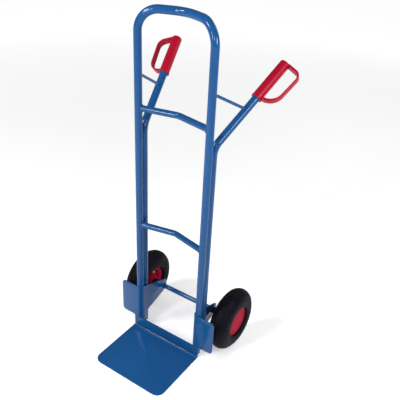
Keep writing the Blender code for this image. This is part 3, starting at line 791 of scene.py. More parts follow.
class GrowthTree(NodeLayout):
    """A Geometry Nodes tree with named inputs, whose result is turned into a plain mesh."""

    def __init__(self, name: str, inputs: Sequence[tuple[str, str]]) -> None:
        """Start a tree.

        Args:
            name: the tree's name.
            inputs: each input's name and socket type.
        """
        self.tree = bpy.data.node_groups.new(name, "GeometryNodeTree")
        face = self.tree.interface
        face.new_socket("Geometry", in_out="INPUT", socket_type="NodeSocketGeometry")
        for label, kind in inputs:
            face.new_socket(label, in_out="INPUT", socket_type=kind)
        face.new_socket("Material", in_out="INPUT", socket_type="NodeSocketMaterial")
        face.new_socket("Geometry", in_out="OUTPUT", socket_type="NodeSocketGeometry")
        self.source = self.tree.nodes.new("NodeGroupInput")
        self.lay_out()

    def lay_out(self) -> None:
        """Add the tree's own nodes."""
        raise NotImplementedError

    def finish(self, geometry: Socket) -> None:
        """End the tree in Realize Instances and Set Material.

        Args:
            geometry: what the tree has made.
        """
        realize = self.add("GeometryNodeRealizeInstances")
        paint = self.add("GeometryNodeSetMaterial")
        self.join(geometry, realize.inputs["Geometry"])
        self.join(realize.outputs["Geometry"], paint.inputs["Geometry"])
        self.join(self.source.outputs["Material"], paint.inputs["Material"])
        self.join(paint.outputs["Geometry"], self.add("NodeGroupOutput").inputs["Geometry"])

    def grow(self, mesh: Mesh, material: Material, **values: object) -> Mesh:
        """Run the tree on a mesh.

        Args:
            mesh: what the tree starts from.
            material: the finish of the result.
            **values: the inputs, with spaces in their names written as underscores.

        Returns:
            The realized mesh.
        """
        holder = on_stage(f"{mesh.name}_grown", mesh)
        modifier = holder.modifiers.new("growth", "NODES")
        modifier.node_group = self.tree
        settings = {key.replace("_", " "): value for key, value in values.items()}
        settings["Material"] = material
        for item in self.tree.interface.items_tree:
            if item.item_type == "SOCKET" and item.in_out == "INPUT" and item.name in settings:
                modifier[item.identifier] = settings[item.name]
        return evaluated_mesh(holder)


class RoundArray(GrowthTree):
    """Copies of a mesh turned about Z."""

    def __init__(self) -> None:
        """Name the tree and its inputs."""
        super().__init__("round_array", [("Count", "NodeSocketInt"), ("First Angle", "NodeSocketFloat")])

    def lay_out(self) -> None:
        """Place one copy on each point, turned by its share of a full turn."""
        points = self.add("GeometryNodePoints")
        spread = self.add("GeometryNodeInstanceOnPoints")
        turn = self.add("FunctionNodeAxisAngleToRotation")
        turn.inputs["Axis"].default_value = (0, 0, 1)
        self.join(self.source.outputs["Count"], points.inputs["Count"])
        index = self.add("GeometryNodeInputIndex").outputs[0]
        share = self.maths("DIVIDE", index, self.source.outputs["Count"])
        angle = self.maths("MULTIPLY", share, 2 * math.pi)
        self.join(self.maths("ADD", angle, self.source.outputs["First Angle"]), turn.inputs["Angle"])
        self.join(points.outputs[0], spread.inputs["Points"])
        self.join(self.source.outputs["Geometry"], spread.inputs["Instance"])
        self.join(turn.outputs["Rotation"], spread.inputs["Rotation"])
        self.finish(spread.outputs["Instances"])


class WeldBead(GrowthTree):
    """A rippled weld bead along the edges of a path mesh."""

    SEED = 11
    SIDES = 10
    SAMPLE_SHARE = 0.2

    def __init__(self) -> None:
        """Name the tree and its inputs."""
        super().__init__(
            "weld_bead",
            [
                ("Bead Radius", "NodeSocketFloat"),
                ("Ripple Pitch", "NodeSocketFloat"),
                ("Ripple Depth", "NodeSocketFloat"),
                ("Unevenness", "NodeSocketFloat"),
            ],
        )

    def lay_out(self) -> None:
        """Sweep a circle whose size swells once for each ripple, with a slight unevenness."""
        source = self.source.outputs
        path = self.add("GeometryNodeMeshToCurve")
        sample = self.add("GeometryNodeResampleCurve", mode="LENGTH")
        sweep = self.add("GeometryNodeCurveToMesh")
        circle = self.add("GeometryNodeCurvePrimitiveCircle")
        spline = self.add("GeometryNodeSplineParameter")
        uneven = self.add("FunctionNodeRandomValue", data_type="FLOAT")
        uneven.inputs[2].default_value = -1.0
        uneven.inputs[3].default_value = 1.0
        uneven.inputs["Seed"].default_value = self.SEED
        circle.inputs["Resolution"].default_value = self.SIDES
        self.join(source["Geometry"], path.inputs["Mesh"])
        self.join(path.outputs["Curve"], sample.inputs["Curve"])
        spacing = self.maths("MULTIPLY", source["Ripple Pitch"], self.SAMPLE_SHARE)
        self.join(spacing, sample.inputs["Length"])
        ripples = self.maths("DIVIDE", spline.outputs["Length"], source["Ripple Pitch"])
        phase = self.maths("MULTIPLY", ripples, math.pi)
        swell = self.maths("ABSOLUTE", self.maths("SINE", phase))
        drop = self.maths("MULTIPLY", self.maths("SUBTRACT", swell, 1.0), source["Ripple Depth"])
        jitter = self.maths("MULTIPLY", uneven.outputs[1], source["Unevenness"])
        scale = self.maths("ADD", self.maths("ADD", drop, jitter), 1.0)
        self.join(source["Bead Radius"], circle.inputs["Radius"])
        self.join(sample.outputs["Curve"], sweep.inputs["Curve"])
        self.join(circle.outputs["Curve"], sweep.inputs["Profile Curve"])
        self.join(scale, sweep.inputs["Scale"])
        sweep.inputs["Fill Caps"].default_value = True
        self.finish(sweep.outputs["Mesh"])


# ---- workshop --------------------------------------------------------------------------------------------


class Workshop:
    """The finishes, the node trees and the truck's own places, shared by every sub-assembly."""

    BLUE = (0.0082, 0.075, 0.228)
    RIPPLE_DEPTH = 0.34
    BEAD_UNEVENNESS = 0.05

    def __init__(self) -> None:
        """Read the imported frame's places and make the finishes."""
        self.load_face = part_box("toe_plate")[0].y + TOE_DEPTH
        low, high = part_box("tyre_right")
        self.axle = Vector((0, (low.y + high.y) / 2, (low.z + high.z) / 2))
        self.wheel_x = (low.x + high.x) / 2
        self.round_array = RoundArray()
        self.weld_bead = WeldBead()
        self.enamel = PowderCoat("blue_enamel_coat", self.BLUE, (0.12, 0.18)).build()
        self.weld_enamel = PowderCoat(
            "blue_enamel_over_weld", self.BLUE, (0.20, 0.28), peel=0.00002
        ).build()
        self.grip = MouldedPlastic("crimson_grip", (0.375, 0.0022, 0.021), (0.26, 0.38)).build()
        self.rim = MouldedPlastic(
            "crimson_rim", (0.36, 0.0022, 0.028), (0.42, 0.56), gloss=0.05, grain_scale=600.0
        ).build()
        self.tyre = TyreRubber(
            "tyre_black", (0.0052, 0.0048, 0.0085), (0.42, 0.60), centre=tuple(self.axle)
        ).build()
        self.tube_rubber = PlainRubber("tube_black", (0.012, 0.012, 0.013), (0.55, 0.8)).build()
        self.zinc = PlatedSteel(
            "bright_zinc", (0.50, 0.50, 0.49), (0.26, 0.42), tint=(0.40, 0.38, 0.30)
        ).build()
        # Dark steel for the axle spacers and inner washers: it is darkened to stand in for the shade in the
        # gap between the bracket's web and the tyre, which is painted shade.
        self.dark_steel = PlatedSteel(
            "steel_darkened_for_shade", (0.075, 0.075, 0.080), (0.30, 0.44), tint=(0.050, 0.048, 0.045)
        ).build()
        self.bearing = PlatedSteel(
            "ground_steel", (0.52, 0.52, 0.54), (0.12, 0.26), tint=(0.45, 0.45, 0.46)
        ).build()

    def at(self, x: float, y: float, z: float) -> Vector:
        """A point whose y is given from the load face."""
        return Vector((x, y + self.load_face, z))

    def wheel_place(self, side: Side) -> Matrix:
        """The placing of a wheel whose own Z points outwards.

        Args:
            side: the wheel's side of the truck.

        Returns:
            The placing.
        """
        centre = Vector((side.value * self.wheel_x, self.axle.y, self.axle.z))
        return Matrix.Translation(centre) @ Matrix.Rotation(side.value * math.pi / 2, 4, "Y")

    def show(
        self,
        name: str,
        mesh: Mesh,
        material: Material,
        slot: Slot,
        body: Body,
        stands_for: Sequence[str] = (),
    ) -> bpy.types.Object:
        """Put a finished mesh on its body.

        Args:
            name: the piece's name.
            mesh: its mesh, already in place.
            material: its finish.
            slot: the record's slot for that finish; not used.
            body: the CAD body that it rides on.
            stands_for: the CAD nodes that it replaces.

        Returns:
            The piece.
        """
        mesh.name = name
        mesh.materials.clear()
        mesh.materials.append(material)
        mesh.shade_smooth()
        mesh.set_sharp_from_angle(angle=SMOOTH_ANGLE)
        piece = on_stage(name, mesh)
        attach(piece, body.value)
        if stands_for:
            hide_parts(*stands_for)
        mesh.calc_loop_triangles()
        LOG.info("%s: %d triangles on %s", name, len(mesh.loop_triangles), body.value)
        return piece

    def show_enamelled(self, name: str, mesh: Mesh, node: str) -> None:
        """Put a blue piece of the frame in a CAD node's stead."""
        self.show(name, mesh, self.enamel, Slot.ENAMEL, Body.FRAME, [node])

    def weld(self, name: str, lines: Sequence[Line], radius: float, pitch: float) -> None:
        """Lay rippled beads along lines.

        Args:
            name: the piece's name.
            lines: each bead's points, and whether it is closed.
            radius: the beads' radius.
            pitch: the distance between two ripples.
        """
        mesh = self.weld_bead.grow(
            path_mesh(name, lines),
            self.weld_enamel,
            Bead_Radius=radius,
            Ripple_Pitch=pitch,
            Ripple_Depth=self.RIPPLE_DEPTH,
            Unevenness=self.BEAD_UNEVENNESS,
        )
        self.show(name, close_and_face_out(mesh), self.weld_enamel, Slot.ENAMEL, Body.FRAME)

    def dress_node(self, node: str, material: Material) -> None:
        """Give a carried-over CAD node its finish.

        Args:
            node: the node's name.
            material: its finish.
        """
        mesh = FRAME["nodes"][node].data
        if not mesh.materials:
            mesh.materials.append(material)
        for index in range(len(mesh.materials)):
            mesh.materials[index] = material
        LOG.info("%s: carried over with %s", node, material.name)


# ---- the frame -------------------------------------------------------------------------------------------


def saddle_path(
    base: tuple[Vector, Vector, float], branch: tuple[Vector, Vector, float], lift: float, points: int = 40
) -> list[Vector]:
    """The closed line where a round branch meets a round base, a little outside both.

    Args:
        base: a point of the base's axis, its direction and its radius.
        branch: where the branch's axis starts inside the base, its direction and its radius.
        lift: how far outside both surfaces the line runs.
        points: how many points it has.

    Returns:
        The points of the line.
    """
    base_point, base_direction, base_radius = base
    start, direction, radius = branch
    side = direction.cross(base_direction).normalized()
    up = side.cross(direction)
    line = []
    for angle in full_turn(points):
        offset = (side * math.cos(angle) + up * math.sin(angle)) * (radius + lift)
        origin = start + offset - base_point
        flat = origin - base_direction * origin.dot(base_direction)
        slope = direction - base_direction * direction.dot(base_direction)
        a = slope.dot(slope)
        b = 2 * flat.dot(slope)
        c = flat.dot(flat) - (base_radius + lift) ** 2
        root = max(b * b - 4 * a * c, 0.0)
        distance = (-b + math.sqrt(root)) / (2 * a)
        line.append(start + offset + direction * distance)
    return line


def path_mesh(name: str, lines: Sequence[Line]) -> Mesh:
    """Lines as a mesh of edges.

    Args:
        name: the mesh's name.
        lines: each line's points, and whether it is closed.

    Returns:
        The mesh of edges.
    """
    points: list[Vector] = []
    edges: list[tuple[int, int]] = []
    for line, closed in lines:
        first = len(points)
        points.extend(line)
        edges.extend((first + i, first + i + 1) for i in range(len(line) - 1))
        if closed:
            edges.append((first + len(line) - 1, first))
    mesh = bpy.data.meshes.new(name)
    mesh.from_pydata(points, edges, [])
    return mesh


@dataclass
class TubeFrame:
    """Uprights, crossbars, handle tubes and braces, with their welds."""

    shop: Workshop
    tube_radius: float = 0.0135
    tube_wall: float = 0.002
    tube_sides: int = 56
    crossbar_sides: int = 48
    notch_sides: int = 72
    brace_sides: int = 32
    upright_x: float = 0.1433
    upright_y: float = 0.0178
    foot_z: float = 0.008
    top_z: float = 1.2865
    top_corner_radius: float = 0.070
    top_set_back: float = 0.058
    top_bend_radius: float = 0.110
    crossbar_radius: float = 0.01125
    crossbar_set_back: float = 0.031
    crossbar_bend_radius: float = 0.045
    notch_length: float = 0.1
    crossbar_heights: tuple[tuple[str, float], ...] = (("upper", 0.966), ("lower", 0.504))
    handle_foot_z: float = 0.012
    handle_bend_z: float = 0.8955
    handle_bend_radius: float = 0.055
    handle_reach: tuple[float, float, float] = (0.0769, 0.2901, 0.2231)
    handle_end_gap: float = 0.0043
    brace_radius: float = 0.005
    brace_top_z: float = 1.083
    brace_foot: float = 0.168
    brace_sunk: float = 0.001
    bead_radius: float = 0.0021
    bead_lift: float = 0.30
    ripple_pitch: float = 0.0026
    stitch_heights: tuple[float, ...] = (0.235, 0.430, 0.640, 0.815)
    stitch_length: float = 0.028
    stitch_valley: float = 0.0052

    @property
    def handle_y(self) -> float:
        """How far the handle tubes' feet stand behind the load face."""
        return self.upright_y + 2 * self.tube_radius + TOUCH_GAP

    def handle_bend(self, side: Side) -> Vector:
        """The corner of a handle tube's axis."""
        return self.shop.at(side.value * self.upright_x, self.handle_y, self.handle_bend_z)

    def handle_direction(self, side: Side) -> Vector:
        """The direction of a handle tube above its bend."""
        x, y, z = self.handle_reach
        return Vector((side.value * x, y, z)).normalized()

    def grip_end(self, side: Side) -> Vector:
        """The point where a grip ends on its tube's axis."""
        return self.handle_bend(side) + self.handle_direction(side) * Vector(self.handle_reach).length

    def upright_axis(self, side: Side, height: float) -> Vector:
        """A point of an upright's axis."""
        return self.shop.at(side.value * self.upright_x, self.upright_y, height)

    def build(self) -> None:
        """Build every tube, then the welds."""
        self.build_uprights()
        for label, height in self.crossbar_heights:
            self.build_crossbar(label, height)
        for side in Side:
            self.build_handle(side)
            self.build_brace(side)
        self.build_welds()

    def build_uprights(self) -> None:
        """The two uprights and the bowed top bar, one bent tube."""
        middle = self.shop.at(0, self.upright_y + self.top_set_back, self.top_z)
        corners = [
            (self.upright_axis(Side.LEFT, self.foot_z), 0),
            (self.upright_axis(Side.LEFT, self.top_z), self.top_corner_radius),
            (middle, self.top_bend_radius),
            (self.upright_axis(Side.RIGHT, self.top_z), self.top_corner_radius),
            (self.upright_axis(Side.RIGHT, self.foot_z), 0),
        ]
        mesh = swept_tube("uprights", fillet_path(corners), self.tube_radius, self.tube_wall, self.tube_sides)
        self.shop.show_enamelled("upright_tube", mesh, "upright_frame")

    def build_crossbar(self, label: str, height: float) -> None:
        """A crossbar, kinked in its middle and notched round the uprights.

        Args:
            label: the crossbar's own part of its name.
            height: its height over the floor.
        """
        middle = self.shop.at(0, self.upright_y + self.crossbar_set_back, height)
        corners = [
            (self.upright_axis(Side.LEFT, height), 0),
            (middle, self.crossbar_bend_radius),
            (self.upright_axis(Side.RIGHT, height), 0),
        ]
        path = fillet_path(corners)
        mesh = swept_tube(f"bar_{label}", path, self.crossbar_radius, self.tube_wall, self.crossbar_sides)
        half = self.notch_length / 2
        for side in Side:
            ends = [self.upright_axis(side, height - half), self.upright_axis(side, height + half)]
            notch = rod(f"notch_{label}", ends, self.tube_radius + TOUCH_GAP, self.notch_sides)
            mesh = combined(mesh, notch, "DIFFERENCE")
        self.shop.show_enamelled(f"crossbar_{label}_tube", mesh, f"crossbar_{label}")

    def build_handle(self, side: Side) -> None:
        """A handle tube, straight behind its upright and then out and back.

        Args:
            side: its side of the truck.
        """
        end = self.grip_end(side) - self.handle_direction(side) * self.handle_end_gap
        corners = [
            (self.shop.at(side.value * self.upright_x, self.handle_y, self.handle_foot_z), 0),
            (self.handle_bend(side), self.handle_bend_radius),
            (end, 0),
        ]
        mesh = swept_tube("handle", fillet_path(corners), self.tube_radius, self.tube_wall, self.tube_sides)
        self.shop.show_enamelled(f"handle_{side.label}_tube", mesh, f"handle_tube_{side.label}")

    def brace_ends(self, side: Side) -> tuple[Vector, Vector]:
        """The points where a brace's axis meets the upright's and the handle tube's axes.

        Args:
            side: its side of the truck.

        Returns:
            The point on the upright's axis and the one on the handle tube's.
        """
        top = self.upright_axis(side, self.brace_top_z)
        foot = self.handle_bend(side) + self.handle_direction(side) * self.brace_foot
        return top, foot

    def build_brace(self, side: Side) -> None:
        """The thin rod between an upright and its handle tube.

        Args:
            side: its side of the truck.
        """
        top, foot = self.brace_ends(side)
        along = (foot - top).normalized()
        sunk = self.tube_radius - self.brace_sunk
        start = top + along * (sunk / math.sqrt(1 - along.z**2))
        lean = self.handle_direction(side)
        end = foot - along * (sunk / math.sqrt(1 - along.dot(lean) ** 2))
        mesh = rod("brace", [start, end], self.brace_radius, self.brace_sides)
        self.shop.show_enamelled(f"brace_{side.label}", mesh, f"brace_rod_{side.label}")

    def crossbar_direction(self, side: Side) -> Vector:
        """The direction of a crossbar away from one upright."""
        return Vector((-side.value * self.upright_x, self.crossbar_set_back, 0)).normalized()

    def build_welds(self) -> None:
        """Rippled beads round every joint of two tubes, and stitches along the paired tubes."""
        rings: list[Line] = []
        stitches: list[Line] = []
        for side in Side:
            rings.extend(self.joint_rings(side))
            stitches.extend(self.stitches(side))
        for name, lines in (("weld_rings", rings), ("weld_stitches", stitches)):
            self.shop.weld(name, lines, self.bead_radius, self.ripple_pitch)

    def joint_rings(self, side: Side) -> list[Line]:
        """Closed beads where the crossbars and the brace meet their tubes.

        Args:
            side: their side of the truck.

        Returns:
            The beads' lines.
        """
        up = Vector((0, 0, 1))
        lift = self.bead_radius * self.bead_lift
        top, foot = self.brace_ends(side)
        along = (foot - top).normalized()
        joints = [
            (self.upright_axis(side, height), up, self.crossbar_direction(side), self.crossbar_radius)
            for _, height in self.crossbar_heights
        ]
        joints.append((top, up, along, self.brace_radius))
        joints.append((foot, self.handle_direction(side), -along, self.brace_radius))
        return [
            (saddle_path((point, axis, self.tube_radius), (point, branch, radius), lift), True)
            for point, axis, branch, radius in joints
        ]

    def stitches(self, side: Side) -> list[Line]:
        """Short vertical beads in both valleys between an upright and its handle tube.

        Args:
            side: their side of the truck.

        Returns:
            The beads' lines.
        """
        steps = 12
        y = self.upright_y + self.tube_radius + TOUCH_GAP / 2
        lines = []
        for height in self.stitch_heights:
            for offset in (-self.stitch_valley, self.stitch_valley):
                x = side.value * self.upright_x + offset
                climb = [height + self.stitch_length * i / steps for i in range(steps + 1)]
                lines.append(([self.shop.at(x, y, z) for z in climb], False))
        return lines


# ---- sheet parts -----------------------------------------------------------------------------------------


@dataclass
class ToePlate:
    """The folded plate that carries the load."""

    shop: Workshop
    half_width: float = 0.160
    depth: float = TOE_DEPTH
    sheet: float = SHEET
    corner_radius: float = 0.032
    flange_corner: float = 0.0015
    fold_radius: float = 0.004
    fold_steps: int = 12
    flange_height: float = 0.052
    edge_round: float = SHEET_EDGE

    def build(self) -> None:
        """Bend a flat blank with two round corners up into the flange."""
        flat_run = self.depth - self.fold_radius
        arc = (self.fold_radius + self.sheet / 2) * math.pi / 2
        rise = self.flange_height - self.sheet - self.fold_radius
        total = flat_run + arc + rise
        outline = fillet_path(
            [
                ((0, -self.half_width, 0), self.corner_radius),
                ((total, -self.half_width, 0), self.flange_corner),
                ((total, self.half_width, 0), self.flange_corner),
                ((0, self.half_width, 0), self.corner_radius),
            ],
            closed=True,
        )

        def place(point: Vector) -> Vector:
            """Take a point of the blank to the folded plate.

            Args:
                point: where it is on the blank.

            Returns:
                Where it is on the plate.
            """
            along, across, height = point
            if along <= flat_run:
                return self.shop.at(across, along - self.depth, height)
            if along >= flat_run + arc:
                climb = self.sheet + self.fold_radius + along - flat_run - arc
                return self.shop.at(across, self.sheet - height, climb)
            angle = (along - flat_run) / arc * math.pi / 2
            radius = self.fold_radius + self.sheet - height
            back = -self.fold_radius + radius * math.sin(angle)
            climb = self.sheet + self.fold_radius - radius * math.cos(angle)
            return self.shop.at(across, back, climb)

        blank = softened(flat_blank("toe_blank", [outline], self.sheet), self.edge_round)
        mesh = bent(blank, flat_run, arc, self.fold_steps, place)
        self.shop.show_enamelled("folded_toe_plate", mesh, "toe_plate")


@dataclass
class WheelBracket:
    """A wing in front of the tyre, bent round the upright into a web that carries the axle."""

    shop: Workshop
    side: Side
    sheet: float = SHEET
    inner_x: float = 0.1255
    bend_radius: float = 0.0138
    bend_steps: int = 16
    slit_share: float = 0.30
    wing_end_x: float = 0.2230
    step_x: float = 0.164
    top_z: float = 0.210
    wing_foot_z: float = 0.056
    flange_top_z: float = 0.0523
    foot_z: float = 0.027
    neck_y: float = 0.03835
    neck_z: float = 0.070
    rear_past_axle: float = 0.017
    above_axle: float = 0.027
    below_axle: float = 0.019
    axle_radius: float = AXLE_RADIUS
    edge_round: float = SHEET_EDGE
    wing_corner: float = 0.014
    shoulder_y: float = 0.0178
    shoulder_corner: float = 0.006
    rear_corner: float = 0.015
    neck_corner: float = 0.010
    hole_points: int = 48
    bead_radius: float = 0.0016
    ripple_pitch: float = 0.0024
    ring_clear: float = 0.0009
    face_clear: float = 0.0004
    top_bead_reach: float = 0.0007
    top_bead_lift: float = 0.0002
    top_bead_turn: tuple[float, float] = (-18, 112)

    @property
    def axle_y(self) -> float:
        """How far the axle stands behind the load face."""
        return self.shop.axle.y - self.shop.load_face

    def flat_of_wing(self, x: float) -> float:
        """The blank's coordinate of a point of the wing."""
        return self.wing_end_x - x

    @property
    def bend_start(self) -> float:
        """Where the bend starts on the blank."""
        return self.wing_end_x - self.inner_x - self.sheet - self.bend_radius

    @property
    def bend_length(self) -> float:
        """The bend's length on the blank."""
        return (self.bend_radius + self.sheet / 2) * math.pi / 2

    def flat_of_web(self, y: float) -> float:
        """The blank's coordinate of a point of the web."""
        return self.bend_start + self.bend_length + y - self.sheet - self.bend_radius

    def outline(self) -> list[Vector]:
        """The blank's outline, with the wing's end at zero.

        Returns:
            The outline's points.
        """
        axle_z = self.shop.axle.z
        rear = self.flat_of_web(self.axle_y + self.rear_past_axle)
        neck = self.flat_of_web(self.neck_y)
        early_bend = self.bend_start + self.bend_length * self.slit_share
        corners = [
            ((0, self.wing_foot_z), self.wing_corner),
            ((0, self.top_z), self.wing_corner),
            ((self.flat_of_web(self.shoulder_y), self.top_z), self.shoulder_corner),
            ((rear, axle_z + self.above_axle), self.rear_corner),
            ((rear, axle_z - self.below_axle), self.rear_corner),
            ((neck, self.neck_z), self.neck_corner),
            ((neck, self.foot_z), 0),
            ((early_bend, self.foot_z), 0),
            ((early_bend, self.flange_top_z), 0),
            ((self.flat_of_wing(self.step_x), self.flange_top_z), 0),
            ((self.flat_of_wing(self.step_x), self.wing_foot_z), 0),
        ]
        return fillet_path([((x, z, 0), radius) for (x, z), radius in corners], closed=True)

    def place(self, point: Vector) -> Vector:
        """Take a point of the blank to the bent bracket.

        Args:
            point: where it is on the blank, whose Z is zero on the outer face.

        Returns:
            Where it is on the bracket.
        """
        along, height, depth = point
        inner = self.bend_radius
        centre_x = self.inner_x + self.sheet + inner
        centre_y = self.sheet + inner
        if along <= self.bend_start:
            x, y = self.wing_end_x - along, depth
        elif along >= self.bend_start + self.bend_length:
            x = self.inner_x + depth
            y = centre_y + along - self.bend_start - self.bend_length
        else:
            angle = (along - self.bend_start) / self.bend_length * math.pi / 2
            radius = inner + self.sheet - depth
            x = centre_x - radius * math.sin(angle)
            y = centre_y - radius * math.cos(angle)
        return self.shop.at(self.side.value * x, y, height)

    def build(self) -> None:
        """Cut the blank with its axle hole and bend it."""
        middle = Vector((self.flat_of_web(self.axle_y), self.shop.axle.z, 0))
        radius = self.axle_radius + TOUCH_GAP
        hole = [
            middle + Vector((math.cos(a), math.sin(a), 0)) * radius for a in full_turn(self.hole_points)
        ]
        blank = flat_blank(f"bracket_blank_{self.side.label}", [self.outline(), hole], self.sheet)
        blank = softened(blank, self.edge_round)
        mesh = bent(blank, self.bend_start, self.bend_length, self.bend_steps, self.place)
        self.shop.show_enamelled(f"bracket_{self.side.label}", mesh, f"wheel_bracket_{self.side.label}")
        self.build_welds()

    def build_welds(self) -> None:
        """Beads round the axle on both faces of the web, and along the bracket's top."""
        faces = (self.inner_x - self.face_clear, self.inner_x + self.sheet + self.face_clear)
        lines: list[Line] = [(self.axle_ring(x), True) for x in faces]
        lines.append((self.top_bead(), False))
        self.shop.weld(f"bracket_welds_{self.side.label}", lines, self.bead_radius, self.ripple_pitch)

    def axle_ring(self, x: float) -> list[Vector]:
        """A ring round the axle.

        Args:
            x: how far it is from the truck's middle.

        Returns:
            Its points.
        """
        reach = self.axle_radius + self.ring_clear
        axle = self.shop.axle
        return [
            Vector((self.side.value * x, axle.y + reach * math.cos(a), axle.z + reach * math.sin(a)))
            for a in full_turn(40)
        ]

    def top_bead(self) -> list[Vector]:
        """The line along the bend's top, between the bracket and the upright.

        Returns:
            Its points.
        """
        steps = 24
        centre_x = self.inner_x + self.sheet + self.bend_radius
        centre_y = self.sheet + self.bend_radius
        reach = self.bend_radius + self.top_bead_reach
        first, turn = self.top_bead_turn
        line = []
        for index in range(steps + 1):
            angle = math.radians(first + turn * index / steps)
            x = centre_x - reach * math.sin(angle)
            y = centre_y - reach * math.cos(angle)
            line.append(self.shop.at(self.side.value * x, y, self.top_z + self.top_bead_lift))
        return line


# ---- grips -----------------------------------------------------------------------------------------------


@dataclass
class Grip:
    """A moulded grip: a closed sleeve with a hand guard beside it."""

    shop: Workshop
    side: Side
    tubes: TubeFrame
    length: float = 0.156
    bore: float = 0.0138
    radius: float = 0.018
    end_wall: float = 0.004
    end_round: float = 0.0042
    collar: float = 0.0013
    collar_length: float = 0.004
    collar_rounds: tuple[float, float, float] = (0.0010, 0.0008, 0.0010)
    mouth_round: float = 0.0004
    floor_round: float = 0.0006
    sides: int = 72
    tilt: float = math.radians(8)
    top_reach: float = 0.0733
    low_reach: float = 0.0658
    band: float = 0.0045
    end_band: float = 0.0078
    depth: float = 0.021
    top_radius: float = 0.026
    low_radius: float = 0.050
    top_drop: float = 0.0105
    low_rise: float = 0.005
    guard_edge: float = 0.0016
    root_sunk: float = 0.0003

    def place(self) -> Matrix:
        """The grip's placing: X towards the guard, Y up the grip.

        Returns:
            The placing.
        """
        along = self.tubes.handle_direction(self.side)
        outward = Vector((self.side.value, 0, 0))
        outward = (outward - along * outward.dot(along)).normalized()
        outward = Matrix.Rotation(self.side.value * self.tilt, 3, along) @ outward
        origin = self.tubes.grip_end(self.side) - along * self.length
        turn = Matrix((outward, along, outward.cross(along))).transposed().to_4x4()
        return Matrix.Translation(origin) @ turn

    def sleeve(self) -> Mesh:
        """The sleeve, with a rounded end and a collar at its mouth.

        Returns:
            The sleeve's mesh.
        """
        inner_round, outer_round, lip_round = self.collar_rounds
        profile = round_profile(
            [
                (self.radius, self.length, self.end_round),
                (self.radius, self.collar_length + self.collar, inner_round),
                (self.radius + self.collar, self.collar_length, outer_round),
                (self.radius + self.collar, 0.0, lip_round),
                (self.bore, 0.0, self.mouth_round),
                (self.bore, self.length - self.end_wall, self.floor_round),
                (0.0, self.length - self.end_wall, 0.0),
                (0.0, self.length, 0.0),
            ]
        )
        first = next(i for i, (radius, _) in enumerate(profile) if radius < MERGE_DISTANCE)
        ordered = profile[first + 1 :] + profile[: first + 1]
        mesh = turned("sleeve", ordered, self.sides, closed=False)
        return moved(mesh, Matrix.Rotation(math.radians(-90), 4, "X"))

    def guard(self) -> Mesh:
        """The guard's band, with its edges rounded over.

        Returns:
            The guard's mesh.
        """
        root = (self.bore + self.radius) / 2 - self.root_sunk
        top_inside = self.length - self.end_band
        far_top = self.top_reach - self.band
        far_low = self.low_reach - self.band
        low_inside = self.low_rise + self.end_band
        corners = [
            (root, self.low_rise, 0),
            (self.low_reach, self.low_rise, self.low_radius),
            (self.top_reach, self.length - self.top_drop, self.top_radius),
            (root, self.length, 0),
            (root, top_inside, 0),
            (far_top, top_inside - self.top_drop, self.top_radius - self.band),
            (far_low, low_inside, self.low_radius - self.end_band),
            (root, low_inside, 0),
        ]
        outline = fillet_path([((x, y, 0), radius) for x, y, radius in corners], closed=True)
        mesh = flat_blank("guard", [outline], self.depth)
        mesh = moved(mesh, Matrix.Translation((0, 0, -self.depth / 2)))
        return softened(mesh, self.guard_edge, 3)

    def build(self) -> None:
        """Join the sleeve and the guard."""
        mesh = combined(self.sleeve(), self.guard(), "UNION")
        mesh = moved(mesh, self.place())
        name = f"grip_{self.side.label}"
        self.shop.show(f"moulded_{name}", mesh, self.shop.grip, Slot.GRIP, Body.FRAME, [name])


# ---- axle ------------------------------------------------------------------------------------------------


